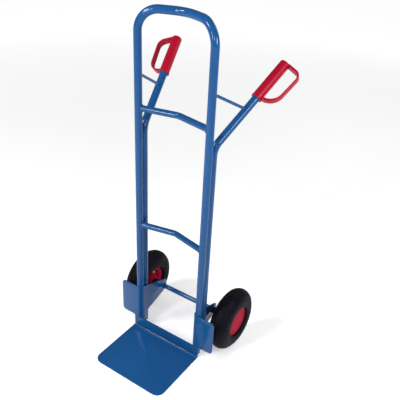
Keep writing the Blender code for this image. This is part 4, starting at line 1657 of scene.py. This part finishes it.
@dataclass
class Axle:
    """The through axle with its spacers, washers and retaining rings."""

    shop: Workshop
    radius: float = AXLE_RADIUS
    chamfer: float = 0.0015
    sides: int = 64
    hub_inboard: float = HUB_INBOARD
    hub_outboard: float = HUB_OUTBOARD
    washer: float = 0.002
    washer_width: float = 0.0065
    ring: float = 0.0012
    groove: float = 0.0011
    ring_reach: float = 0.0035
    ring_gap: float = math.radians(50)
    ring_steps: int = 48
    past_ring: float = 0.0032
    fitting_edge: float = 0.0004
    spacer_wall: float = 0.0042
    web_outer_x: float = 0.1295

    @property
    def ring_u(self) -> float:
        """Where a retaining ring starts, outwards from its wheel's middle."""
        return self.hub_outboard + 2 * TOUCH_GAP + self.washer

    def build(self) -> None:
        """Build the axle and both ends' fittings."""
        half = self.shop.wheel_x + self.ring_u + self.ring + self.past_ring
        far = self.shop.wheel_x + self.ring_u + self.ring + TOUCH_GAP
        near = self.shop.wheel_x + self.ring_u - TOUCH_GAP
        inner = self.radius - self.groove
        upper = [
            (0, half),
            (self.radius - self.chamfer, half),
            (self.radius, half - self.chamfer),
            (self.radius, far),
            (inner, far),
            (inner, near),
            (self.radius, near),
        ]
        profile = upper + [(r, -u) for r, u in reversed(upper)]
        mesh = turned("axle_bar", profile, self.sides, closed=False)
        centre = Matrix.Translation((0, self.shop.axle.y, self.shop.axle.z))
        mesh = moved(mesh, centre @ Matrix.Rotation(math.pi / 2, 4, "Y"))
        self.shop.show_enamelled("through_axle", mesh, "axle")
        for side in Side:
            self.build_fittings(side)

    def build_fittings(self, side: Side) -> None:
        """The spacer, two washers and the ring of one wheel.

        Args:
            side: the wheel's side of the truck.
        """
        bore = self.radius + TOUCH_GAP
        wide = bore + self.washer_width
        inner_u = -self.hub_inboard - TOUCH_GAP - self.washer
        outer_u = self.hub_outboard + TOUCH_GAP
        spacer_low = self.web_outer_x + TOUCH_GAP - self.shop.wheel_x
        # The spacer and the inner washer take the dark steel, whose darkness is painted shade of the gap
        # beside the tyre; the outer washer stays bright zinc.
        dark, bright = self.shop.dark_steel, self.shop.zinc
        sleeves = (
            ("axle_spacer", dark, bore + self.spacer_wall, spacer_low, inner_u - TOUCH_GAP),
            ("inner_washer", dark, wide, inner_u, inner_u + self.washer),
            ("outer_washer", bright, wide, outer_u, outer_u + self.washer),
        )
        edge = self.fitting_edge
        for name, finish, outside, low, high in sleeves:
            profile = round_profile(
                [(outside, high, edge), (outside, low, edge), (bore, low, edge / 2), (bore, high, edge / 2)]
            )
            mesh = moved(turned(name, profile, self.sides), self.shop.wheel_place(side))
            node = f"{name}_{side.label}"
            self.shop.show(f"{node}_turned", mesh, finish, Slot.ZINC, Body.FRAME, [node])
        mesh = moved(self.ring_mesh(), self.shop.wheel_place(side))
        node = f"retaining_ring_{side.label}"
        self.shop.show(f"{node}_spring", mesh, self.shop.zinc, Slot.ZINC, Body.FRAME, [node])

    def ring_mesh(self) -> Mesh:
        """An open spring ring with its gap on one side.

        Returns:
            The ring's mesh.
        """
        inner = self.radius - self.groove + TOUCH_GAP
        outer = self.radius + self.ring_reach
        turn = 2 * math.pi - self.ring_gap
        steps = self.ring_steps
        angles = [self.ring_gap / 2 + turn * i / steps for i in range(steps + 1)]
        outside = [Vector((outer * math.cos(a), outer * math.sin(a), 0)) for a in angles]
        inside = [Vector((inner * math.cos(a), inner * math.sin(a), 0)) for a in reversed(angles)]
        mesh = flat_blank("ring", [outside + inside], self.ring)
        return moved(mesh, Matrix.Translation((0, 0, self.ring_u)))


# ---- wheels ----------------------------------------------------------------------------------------------


class RimHalf(Enum):
    """The two halves of a rim, with the way that each faces along the wheel's own axis."""

    INNER = -1
    OUTER = 1

    @property
    def label(self) -> str:
        """The half's name as the CAD nodes spell it."""
        return self.name.lower()


@dataclass(frozen=True)
class TreadRow:
    """A row of tread blocks: its edges in degrees round the section, and its slant and shift in pitches."""

    start: float
    end: float
    slant: float
    shift: float


@dataclass
class Wheel:
    """A pneumatic wheel: tyre, two bolted rim halves and a hub cap."""

    shop: Workshop
    side: Side

    # The casing. Its side rings are in degrees past the edge of the tread.
    tyre_radius: float = 0.128
    tyre_half_width: float = 0.0415
    section_half_height: float = 0.046
    side_turn: float = math.radians(114)
    side_drop: float = 0.0007
    side_rings: tuple[float, ...] = (24.0, 52.0)
    side_ring_half: float = 1.6
    shoulder_fade: float = 3.0
    cavity_drop: tuple[float, float] = (0.009, 0.006)
    cavity_turn: float = math.radians(148)
    cavity_steps: int = 32
    casing_steps: int = 150
    casing_sides: int = 144
    bead_width: float = 0.009
    bead_height: float = 0.0065
    bead_swell: float = 0.002

    # The tread.
    groove_depth: float = 0.0026
    tread_turn: float = math.radians(47)
    tread_rows: tuple[TreadRow, ...] = (
        TreadRow(1.4, 12.0, 0.30, 0.0),
        TreadRow(15.0, 27.0, -0.30, 0.5),
        TreadRow(30.0, 47.5, 0.16, 0.0),
    )
    block_count: int = 44
    block_half: float = 0.40
    block_root: float = 0.0012
    block_edge: float = 0.0004
    side_shift: float = 0.25

    # The rim halves and their ribs.
    bead_seat: float = 0.050
    flange_height: float = 0.011
    rim_half_width: float = 0.0275
    lip: float = 0.0035
    web: float = 0.009
    rim_wall: float = 0.004
    rim_steps: int = 128
    hub_inboard: float = HUB_INBOARD
    hub_outboard: float = HUB_OUTBOARD
    boss_bore: float = 0.0172
    boss_radius: float = 0.0229
    rib_count: int = 8
    rib_half: float = 0.0011
    rib_rises: tuple[float, float] = (0.0052, 0.0030)
    rib_sunk: float = 0.0006
    rib_end: float = 0.0024
    rib_slope: float = 0.8
    rib_edge: float = 0.0004

    # The hub cap.
    cap_thickness: float = 0.0022
    cap_dome: float = 0.0035
    cap_skirt: float = 0.002
    cap_skirt_depth: float = 0.009
    cap_fit: float = 0.001

    # The bolts and nuts.
    bolt_count: int = 4
    bolt_circle_out: float = 0.0005
    bolt_radius: float = 0.003
    bolt_tip: float = 0.0005
    bolt_past_nut: float = 0.002
    bore_sides: int = 24
    thread_pitch: float = 0.001
    thread_depth: float = 0.0004
    thread_before_nut: float = 0.004
    hex_radius: float = 0.00575
    crown: float = 0.0009
    crown_share: float = 0.84
    head_height: float = 0.004
    nut_height: float = 0.005

    # The valve.
    valve_radius: float = 0.00375
    valve_clear: float = 0.0004
    valve_angle: float = math.radians(40)
    valve_slope: float = math.radians(41.5)
    valve_length: float = 0.029

    @property
    def flange_radius(self) -> float:
        """The rim flange's outer radius."""
        return self.bead_seat + self.flange_height

    @property
    def recess_radius(self) -> float:
        """The radius of the hollow beside the rim's web."""
        return self.bead_seat - self.rim_wall

    @property
    def web_radius(self) -> float:
        """The radius of the web's flat face."""
        return self.recess_radius - self.rim_wall

    @property
    def bolt_circle(self) -> float:
        """The radius of the circle that the bolts stand on."""
        return (self.boss_radius + self.web_radius) / 2 + self.bolt_circle_out

    def section(self, angle: float, drop: float = 0.0) -> tuple[float, float]:
        """A point of the tyre's outer section.

        Args:
            angle: how far round the section it is from the tread's middle.
            drop: how far inside the surface.

        Returns:
            Its radius and its place across the wheel.
        """
        half_height = self.section_half_height - drop
        half_width = self.tyre_half_width - drop
        centre = self.tyre_radius - self.section_half_height
        return centre + half_height * math.cos(angle), half_width * math.sin(angle)

    def build(self) -> None:
        """Build every piece of the wheel."""
        self.build_casing()
        self.build_tread()
        self.build_rim_half(RimHalf.INNER, self.hub_inboard)
        self.build_rim_half(RimHalf.OUTER, self.hub_outboard)
        self.build_cap()
        self.build_bolts()
        self.build_valve()
        for node, finish in (
            ("hub_sleeve", self.shop.zinc),
            ("roller_bearing_inboard", self.shop.bearing),
            ("roller_bearing_outboard", self.shop.bearing),
            ("inner_tube", self.shop.tube_rubber),
        ):
            self.shop.dress_node(self.named(node), finish)

    def put(
        self,
        name: str,
        mesh: Mesh,
        material: Material,
        slot: Slot,
        nodes: Sequence[str] = (),
    ) -> None:
        """Place a mesh made about Z on this wheel and show it.

        Args:
            name: the piece's name, without its side.
            mesh: the mesh.
            material: its finish.
            slot: the record's slot for that finish.
            nodes: the CAD nodes that it replaces.
        """
        mesh = moved(mesh, self.shop.wheel_place(self.side))
        self.shop.show(self.named(name), mesh, material, slot, self.side.wheel, nodes)

    def named(self, kind: str, number: int | None = None) -> str:
        """A name with this wheel's side in it, and a number where it has one."""
        name = f"{kind}_{self.side.label}"
        return name if number is None else f"{name}_{number}"

    def casing_drop(self, angle: float) -> float:
        """How deep the casing lies under the full section.

        It is a groove's depth under the tread, and on the side a little, apart from raised rings.

        Args:
            angle: how far round the section it is from the tread's middle.

        Returns:
            The depth.
        """
        past = math.degrees(abs(angle) - self.tread_turn)
        if past < 0:
            return self.groove_depth
        if past < self.shoulder_fade:
            return self.groove_depth * (1 - past / self.shoulder_fade)
        if any(abs(past - ring) < self.side_ring_half for ring in self.side_rings):
            return 0.0
        return self.side_drop

    @property
    def bead_heel(self) -> float:
        """How far a bead's outer face is from the wheel's middle."""
        return self.rim_half_width - self.lip - TOUCH_GAP

    def build_casing(self) -> None:
        """The casing: its outside under the tread, sides, beads and inside."""
        steps = self.casing_steps
        angles = [self.side_turn - 2 * self.side_turn * i / steps for i in range(steps + 1)]
        outside = [self.section(a, self.casing_drop(a)) for a in angles]
        heel = self.bead_heel
        toe = heel - self.bead_width
        bead = self.bead_seat + TOUCH_GAP
        bead_top = bead + self.bead_height
        crown_drop, side_drop = self.cavity_drop
        cavity_radius = self.tyre_radius - crown_drop
        cavity_half = self.tyre_half_width - side_drop
        middle = (bead_top + cavity_radius) / 2
        turn = self.cavity_turn
        turns = [turn - 2 * turn * i / self.cavity_steps for i in range(self.cavity_steps + 1)]
        inside = [
            (middle + (cavity_radius - middle) * math.cos(a), cavity_half * math.sin(a)) for a in turns
        ]
        low_bead = [
            (self.flange_radius + 2 * TOUCH_GAP, -heel - self.bead_swell),
            (self.flange_radius - self.bead_swell / 2, -heel),
            (bead, -heel),
            (bead, -toe),
            (bead_top, -toe),
        ]
        high_bead = [(r, -u) for r, u in reversed(low_bead)]
        profile = outside + low_bead + inside[::-1] + high_bead
        mesh = turned("casing", profile, self.casing_sides)
        self.put("tyre_casing", mesh, self.shop.tyre, Slot.TYRE, [self.named("tyre")])

    def tread_block(
        self, start: float, end: float, slant: float, half_turn: float, rows: int = 4
    ) -> Mesh:
        """One tread block, which follows the section and leans across it.

        Args:
            start: the section angle of its near edge.
            end: the section angle of its far edge.
            slant: how far its far edge is turned round the wheel.
            half_turn: half of its length round the wheel, as an angle.
            rows: how many faces go across it.

        Returns:
            The closed block.
        """
        work = bmesh.new()
        rings = []
        for index in range(rows + 1):
            share = index / rows
            angle = start + (end - start) * share
            lean = slant * (share - 0.5)
            top = self.block_edge if index in (0, rows) else 0.0
            flank = [(self.groove_depth + self.block_root, 1.06), (0.0005, 1.0), (top, 0.94)]
            ring = [(-grow, drop) for drop, grow in flank] + [(grow, drop) for drop, grow in reversed(flank)]
            points = []
            for share_of_half, drop in ring:
                radius, u = self.section(angle, drop)
                turn = lean + share_of_half * half_turn
                points.append((radius * math.cos(turn), radius * math.sin(turn), u))
            rings.append([work.verts.new(point) for point in points])
        for low, high in zip(rings, rings[1:]):
            bridge(work, low, high)
        work.faces.new(rings[0])
        work.faces.new(rings[-1])
        return taken_from(work, "tread_block")

    def build_tread(self) -> None:
        """Rows of blocks round the tyre: two centre rows, two rows beside them and the shoulder lugs."""
        pitch = 2 * math.pi / self.block_count
        meshes = []
        for row in self.tread_rows:
            for sign in (-1, 1):
                block = self.tread_block(
                    math.radians(sign * row.start),
                    math.radians(sign * row.end),
                    sign * row.slant * pitch,
                    pitch * self.block_half,
                )
                first = pitch * (row.shift + (self.side_shift if sign > 0 else 0.0))
                ring = self.shop.round_array.grow(
                    block, self.shop.tyre, Count=self.block_count, First_Angle=first
                )
                meshes.append(ring)
        self.put("tyre_tread", joined("tread", meshes), self.shop.tyre, Slot.TYRE)

    def build_rim_half(self, half: RimHalf, boss_end: float) -> None:
        """Half of the rim, with ribs in its hollow.

        Args:
            half: which half.
            boss_end: how far its boss reaches.
        """
        split = TOUCH_GAP / 2
        lip_u = self.rim_half_width - self.lip
        seat_end = lip_u / 2
        corners = [
            (self.flange_radius, self.rim_half_width, 0.0009),
            (self.flange_radius, lip_u, 0.0009),
            (self.bead_seat, lip_u, 0.0012),
            (self.bead_seat, seat_end, 0.001),
            (self.bead_seat - self.lip, seat_end - self.lip, 0.001),
            (self.bead_seat - self.lip, split, 0.0002),
            (self.boss_bore, split, 0.0002),
            (self.boss_bore, boss_end - TOUCH_GAP, 0.0003),
            (self.boss_radius - 0.001, boss_end - TOUCH_GAP, 0.0007),
            (self.boss_radius, self.web, 0.0016),
            (self.web_radius, self.web, 0.0020),
            (self.recess_radius, lip_u - 0.001, 0.0015),
            (self.flange_radius - self.rim_wall, self.rim_half_width, 0.0012),
        ]
        name = f"rim_{half.label}"
        profile = [(r, half.value * u) for r, u in round_profile(corners)]
        mesh = turned(name, profile, self.rim_steps)
        holes = [
            self.bore_through("hole", (x, y), half.value * -0.01, half.value * 0.04)
            for x, y in self.bolt_places()
        ]
        mesh = combined(mesh, joined("holes", holes), "DIFFERENCE")
        if half is RimHalf.INNER:
            ends = [Vector((0, 0, -0.003)), Vector((0, 0, self.valve_length))]
            bore = rod("valve_bore", ends, self.valve_radius + self.valve_clear, 32)
            mesh = combined(mesh, moved(bore, self.valve_place()), "DIFFERENCE")
        self.put(name, mesh, self.shop.rim, Slot.RIM, [self.named(name)])
        self.build_ribs(half)

    def bore_through(self, name: str, place: Sequence[float], low: float, high: float) -> Mesh:
        """A rod that cuts a bolt's hole.

        Args:
            name: the mesh's name.
            place: where it stands round the hub.
            low: where it starts.
            high: where it ends.

        Returns:
            The rod's mesh.
        """
        ends = [Vector((*place, low)), Vector((*place, high))]
        return rod(name, ends, self.bolt_radius + TOUCH_GAP, self.bore_sides)

    def build_ribs(self, half: RimHalf) -> None:
        """Thin ribs from the boss to the recess, between the bolts.

        Args:
            half: the half of the rim that they stand in.
        """
        low, high = self.boss_radius - self.rib_sunk, self.recess_radius - self.rib_end
        base = self.web - self.rib_sunk
        rise = self.rib_rises[0 if half is RimHalf.INNER else 1]
        outline = [
            Vector((low, base, 0)),
            Vector((high, base, 0)),
            Vector((high, base + rise * self.rib_slope, 0)),
            Vector((low, base + rise, 0)),
        ]
        rib = softened(flat_blank("rib", [outline], 2 * self.rib_half), self.rib_edge)
        upright = Matrix(((1, 0, 0, 0), (0, 0, 1, -self.rib_half), (0, half.value, 0, 0), (0, 0, 0, 1)))
        rib = close_and_face_out(moved(rib, upright))
        first = math.pi / self.rib_count
        mesh = self.shop.round_array.grow(rib, self.shop.rim, Count=self.rib_count, First_Angle=first)
        self.put(f"rim_ribs_{half.label}", mesh, self.shop.rim, Slot.RIM)

    def build_cap(self) -> None:
        """The smooth domed hub cap, with a fine step round its edge."""
        seat = self.rim_half_width + TOUCH_GAP
        skirt = self.web_radius + self.cap_fit
        edge = self.flange_radius

        def dome(radius: float) -> float:
            """The height of the cap's outside at a radius."""
            return seat + self.cap_thickness + self.cap_dome * (1 - (radius / edge) ** 2)

        outside = [(edge * i / 24, dome(edge * i / 24)) for i in range(23)]
        rim = [
            (edge * 0.957, dome(edge * 0.957) - 0.00035),
            (edge * 0.972, dome(edge * 0.972) - 0.00005),
            (edge * 0.990, dome(edge) - 0.0002),
            (edge, seat + self.cap_thickness - 0.0009),
            (edge, seat + 0.0003),
            (edge - 0.0003, seat),
        ]
        underside = [
            (skirt, seat),
            (skirt, seat - self.cap_skirt_depth),
            (skirt - self.cap_skirt, seat - self.cap_skirt_depth),
            (skirt - self.cap_skirt, dome(skirt) - self.cap_thickness),
            (0, dome(0) - self.cap_thickness),
        ]
        mesh = turned("cap", outside + rim + underside, self.rim_steps, closed=False)
        self.put("hub_cap_dome", mesh, self.shop.rim, Slot.RIM, [self.named("hub_cap")])

    def bolt_places(self) -> list[tuple[float, float]]:
        """Where the bolts stand round the hub.

        Returns:
            Each bolt's x and y in the wheel's own frame.
        """
        angles = [2 * math.pi / self.bolt_count * (i + 0.5) for i in range(self.bolt_count)]
        return [(self.bolt_circle * math.cos(a), self.bolt_circle * math.sin(a)) for a in angles]

    def crowned_hexagon(self, height: float) -> Mesh:
        """A hexagon on z = 0 whose top is turned down to a crown.

        Args:
            height: how high it is.

        Returns:
            The closed mesh.
        """
        outline = [
            Vector((self.hex_radius * math.cos(a), self.hex_radius * math.sin(a), 0)) for a in full_turn(6)
        ]
        spare = 0.001
        wide = self.hex_radius + spare
        profile = [
            (0, height),
            (self.hex_radius * self.crown_share, height),
            (wide, height - self.crown),
            (wide, -spare),
            (0, -spare),
        ]
        crown = turned("crown", profile, 36, closed=False)
        return combined(flat_blank("hexagon", [outline], height), crown, "INTERSECT")

    def threaded(self, low: float, high: float, plain_end: float) -> Mesh:
        """A shank with turned thread grooves over its far end.

        Args:
            low: where it starts, inside the head.
            high: its free end.
            plain_end: where the thread begins.

        Returns:
            The closed mesh.
        """
        profile = [(0, low), (self.bolt_radius, low), (self.bolt_radius, plain_end)]
        height = plain_end
        while height + self.thread_pitch < high - self.thread_depth:
            profile.append((self.bolt_radius - self.thread_depth, height + self.thread_pitch / 2))
            profile.append((self.bolt_radius, height + self.thread_pitch))
            height += self.thread_pitch
        profile += [(self.bolt_radius - self.bolt_tip, high), (0, high)]
        return turned("shank", profile, self.bore_sides, closed=False)

    def build_bolts(self) -> None:
        """Bolts with crowned heads on the inner side, and their nuts."""
        head_top = -self.web - TOUCH_GAP
        nut_low = self.web + TOUCH_GAP
        end = nut_low + self.nut_height + self.bolt_past_nut
        upside_down = Matrix.Translation((0, 0, head_top)) @ Matrix.Rotation(math.pi, 4, "X")
        head = moved(self.crowned_hexagon(self.head_height), upside_down)
        shank = self.threaded(head_top - self.head_height / 2, end, nut_low - self.thread_before_nut)
        bolt = joined("bolt", [head, shank])
        nut = moved(self.crowned_hexagon(self.nut_height), Matrix.Translation((0, 0, nut_low)))
        bore = self.bore_through("bore", (0, 0), nut_low - 0.002, end + 0.002)
        nut = combined(nut, bore, "DIFFERENCE")
        count = self.bolt_count
        for name, mesh in (("rim_bolt", bolt), ("rim_nut", nut)):
            placed = moved(mesh, Matrix.Translation((self.bolt_circle, 0, 0)))
            ring = self.shop.round_array.grow(
                placed, self.shop.zinc, Count=count, First_Angle=math.pi / count
            )
            nodes = [self.named(name, number) for number in range(1, count + 1)]
            self.put(f"{name}s", ring, self.shop.zinc, Slot.ZINC, nodes)

    def valve_place(self) -> Matrix:
        """The valve stem's placing in the wheel's own frame.

        Returns:
            The placing.
        """
        toe = self.bead_heel - self.bead_width
        start = Vector((self.bead_seat + self.flange_height / 2, 0, -toe / 4))
        turn = Matrix.Rotation(self.valve_angle, 4, "Z")
        slope = Matrix.Rotation(math.radians(270) - self.valve_slope, 4, "Y")
        return turn @ Matrix.Translation(start) @ slope

    def build_valve(self) -> None:
        """The rubber valve stem with its ribbed cap."""
        reach = self.valve_length
        profile = [
            (0, reach),
            (self.valve_radius * 0.55, reach),
            (self.valve_radius * 0.78, reach - 0.0008),
            (self.valve_radius * 0.80, reach - 0.0075),
            (self.valve_radius * 0.72, reach - 0.0078),
            (self.valve_radius * 0.72, reach - 0.0085),
            (self.valve_radius, reach - 0.0105),
            (self.valve_radius, 0.0004),
            (self.valve_radius - 0.0004, 0),
            (0, 0),
        ]
        stem = moved(turned("stem", profile, 40, closed=False), self.valve_place())
        self.put("valve", stem, self.shop.tube_rubber, Slot.TUBE, [self.named("valve_stem")])


# ---- the studio ------------------------------------------------------------------------------------------


@dataclass(frozen=True)
class SoftLight:
    """A rectangular light that looks at a point.

    Its size is its width and height in metres, and its power is in watts. It may be rolled about its own
    line of sight.
    """

    name: str
    place: tuple[float, float, float]
    target: tuple[float, float, float]
    size: tuple[float, float]
    power: float
    roll: float = 0.0


@dataclass
class Studio:
    """A pale floor, soft lights and the camera."""

    camera_at: tuple[float, float, float] = (0.9917, -1.3899, 1.6614)
    target: tuple[float, float, float] = (0.12307, -0.0483, 0.64403)
    roll: float = math.radians(3.03)
    lens: float = 50.25
    shift: tuple[float, float] = (0.0077, 0.0459)
    floor_reach: float = 9.0
    floor_glow: tuple[float, float] = (0.36, 0.80)
    glow_between: tuple[float, float] = (1.4, 5.0)
    room_strength: float = 0.18
    lights: tuple[SoftLight, ...] = (
        SoftLight("key_box", (-1.5, -1.9, 2.7), (0, 0, 0.55), (0.7, 0.7), 60),
        SoftLight("front_box", (-0.6, -2.6, 1.95), (0, 0.1, 0.9), (0.42, 0.9), 34),
        SoftLight("fill_box", (1.5, -2.2, 2.3), (0.1, 0, 0.9), (0.2, 0.6), 12),
        SoftLight("side_strip", (1.55, -0.05, 1.62), (0.18, 0.13, 0.99), (0.9, 0.36), 21, math.radians(32)),
        SoftLight("back_box", (0.6, 2.6, 2.2), (0, 0, 0.6), (1.6, 1.0), 14),
    )

    def build(self) -> None:
        """Set up the floor, the lights and the camera."""
        self.build_floor()
        self.build_room()
        for light in self.lights:
            self.add_light(light)
        self.build_camera()

    def build_floor(self) -> None:
        """A wide pale floor that glows a little, and more with its distance."""
        sheet = NodeSheet("pale_floor")
        mottle = sheet.ranged(sheet.noise(1.3, 3.0), 0, 1)
        sheet.drive("Base Color", sheet.mixed(mottle, (0.90, 0.90, 0.90), (0.87, 0.87, 0.875)))
        sheet.set(Roughness=0.7, Emission_Color=(1, 1, 1, 1))
        distance = sheet.length(sheet.place)
        sheet.drive("Emission Strength", sheet.ranged(distance, *self.floor_glow, *self.glow_between))
        mesh = bpy.data.meshes.new("floor")
        reach = self.floor_reach
        corners = [(-reach, -reach, 0), (reach, -reach, 0), (reach, reach, 0), (-reach, reach, 0)]
        mesh.from_pydata(corners, [], [(0, 1, 2, 3)])
        mesh.materials.append(sheet.material)
        on_stage("floor", mesh)

    def build_room(self) -> None:
        """The dim, slightly cool room round the studio."""
        world = bpy.data.worlds.new("room")
        world.use_nodes = True
        background = world.node_tree.nodes["Background"]
        background.inputs["Color"].default_value = (0.97, 0.98, 1.0, 1)
        background.inputs["Strength"].default_value = self.room_strength
        bpy.context.scene.world = world

    def add_light(self, light: SoftLight) -> None:
        """Hang one of the lights.

        Args:
            light: where it hangs, what it looks at, and how large and strong it is.
        """
        area = bpy.data.lights.new(light.name, "AREA")
        area.shape = "RECTANGLE"
        area.size, area.size_y = light.size
        area.energy = light.power
        lamp = on_stage(light.name, area)
        lamp.matrix_world = self.looking(Vector(light.place), Vector(light.target), light.roll)

    @staticmethod
    def looking(place: Vector, target: Vector, roll: float) -> Matrix:
        """The placing of a camera or light that looks at a point.

        Args:
            place: where it stands.
            target: what it looks at.
            roll: how far its right side is lifted.

        Returns:
            The placing.
        """
        turn = (target - place).to_track_quat("-Z", "Y").to_matrix()
        return Matrix.Translation(place) @ turn.to_4x4() @ Matrix.Rotation(roll, 4, "Z")

    def build_camera(self) -> None:
        """The camera, high in front of the truck on its right."""
        lens = bpy.data.cameras.new("camera")
        lens.lens = self.lens
        lens.sensor_width = 36.0
        lens.shift_x, lens.shift_y = self.shift
        lens.clip_end = 60.0
        camera = on_stage("camera", lens)
        camera.matrix_world = self.looking(Vector(self.camera_at), Vector(self.target), self.roll)
        bpy.context.scene.camera = camera
        bpy.context.scene.view_settings.view_transform = "Standard"


# ---- the truck -------------------------------------------------------------------------------------------


def main() -> None:
    logging.basicConfig(level=logging.INFO, format="%(name)s: %(message)s")
    shop = Workshop()
    tubes = TubeFrame(shop)
    tubes.build()
    ToePlate(shop).build()
    Axle(shop).build()
    for side in Side:
        WheelBracket(shop, side).build()
        Grip(shop, side, tubes).build()
        Wheel(shop, side).build()
    Studio().build()


if __name__ == "__main__":
    main()
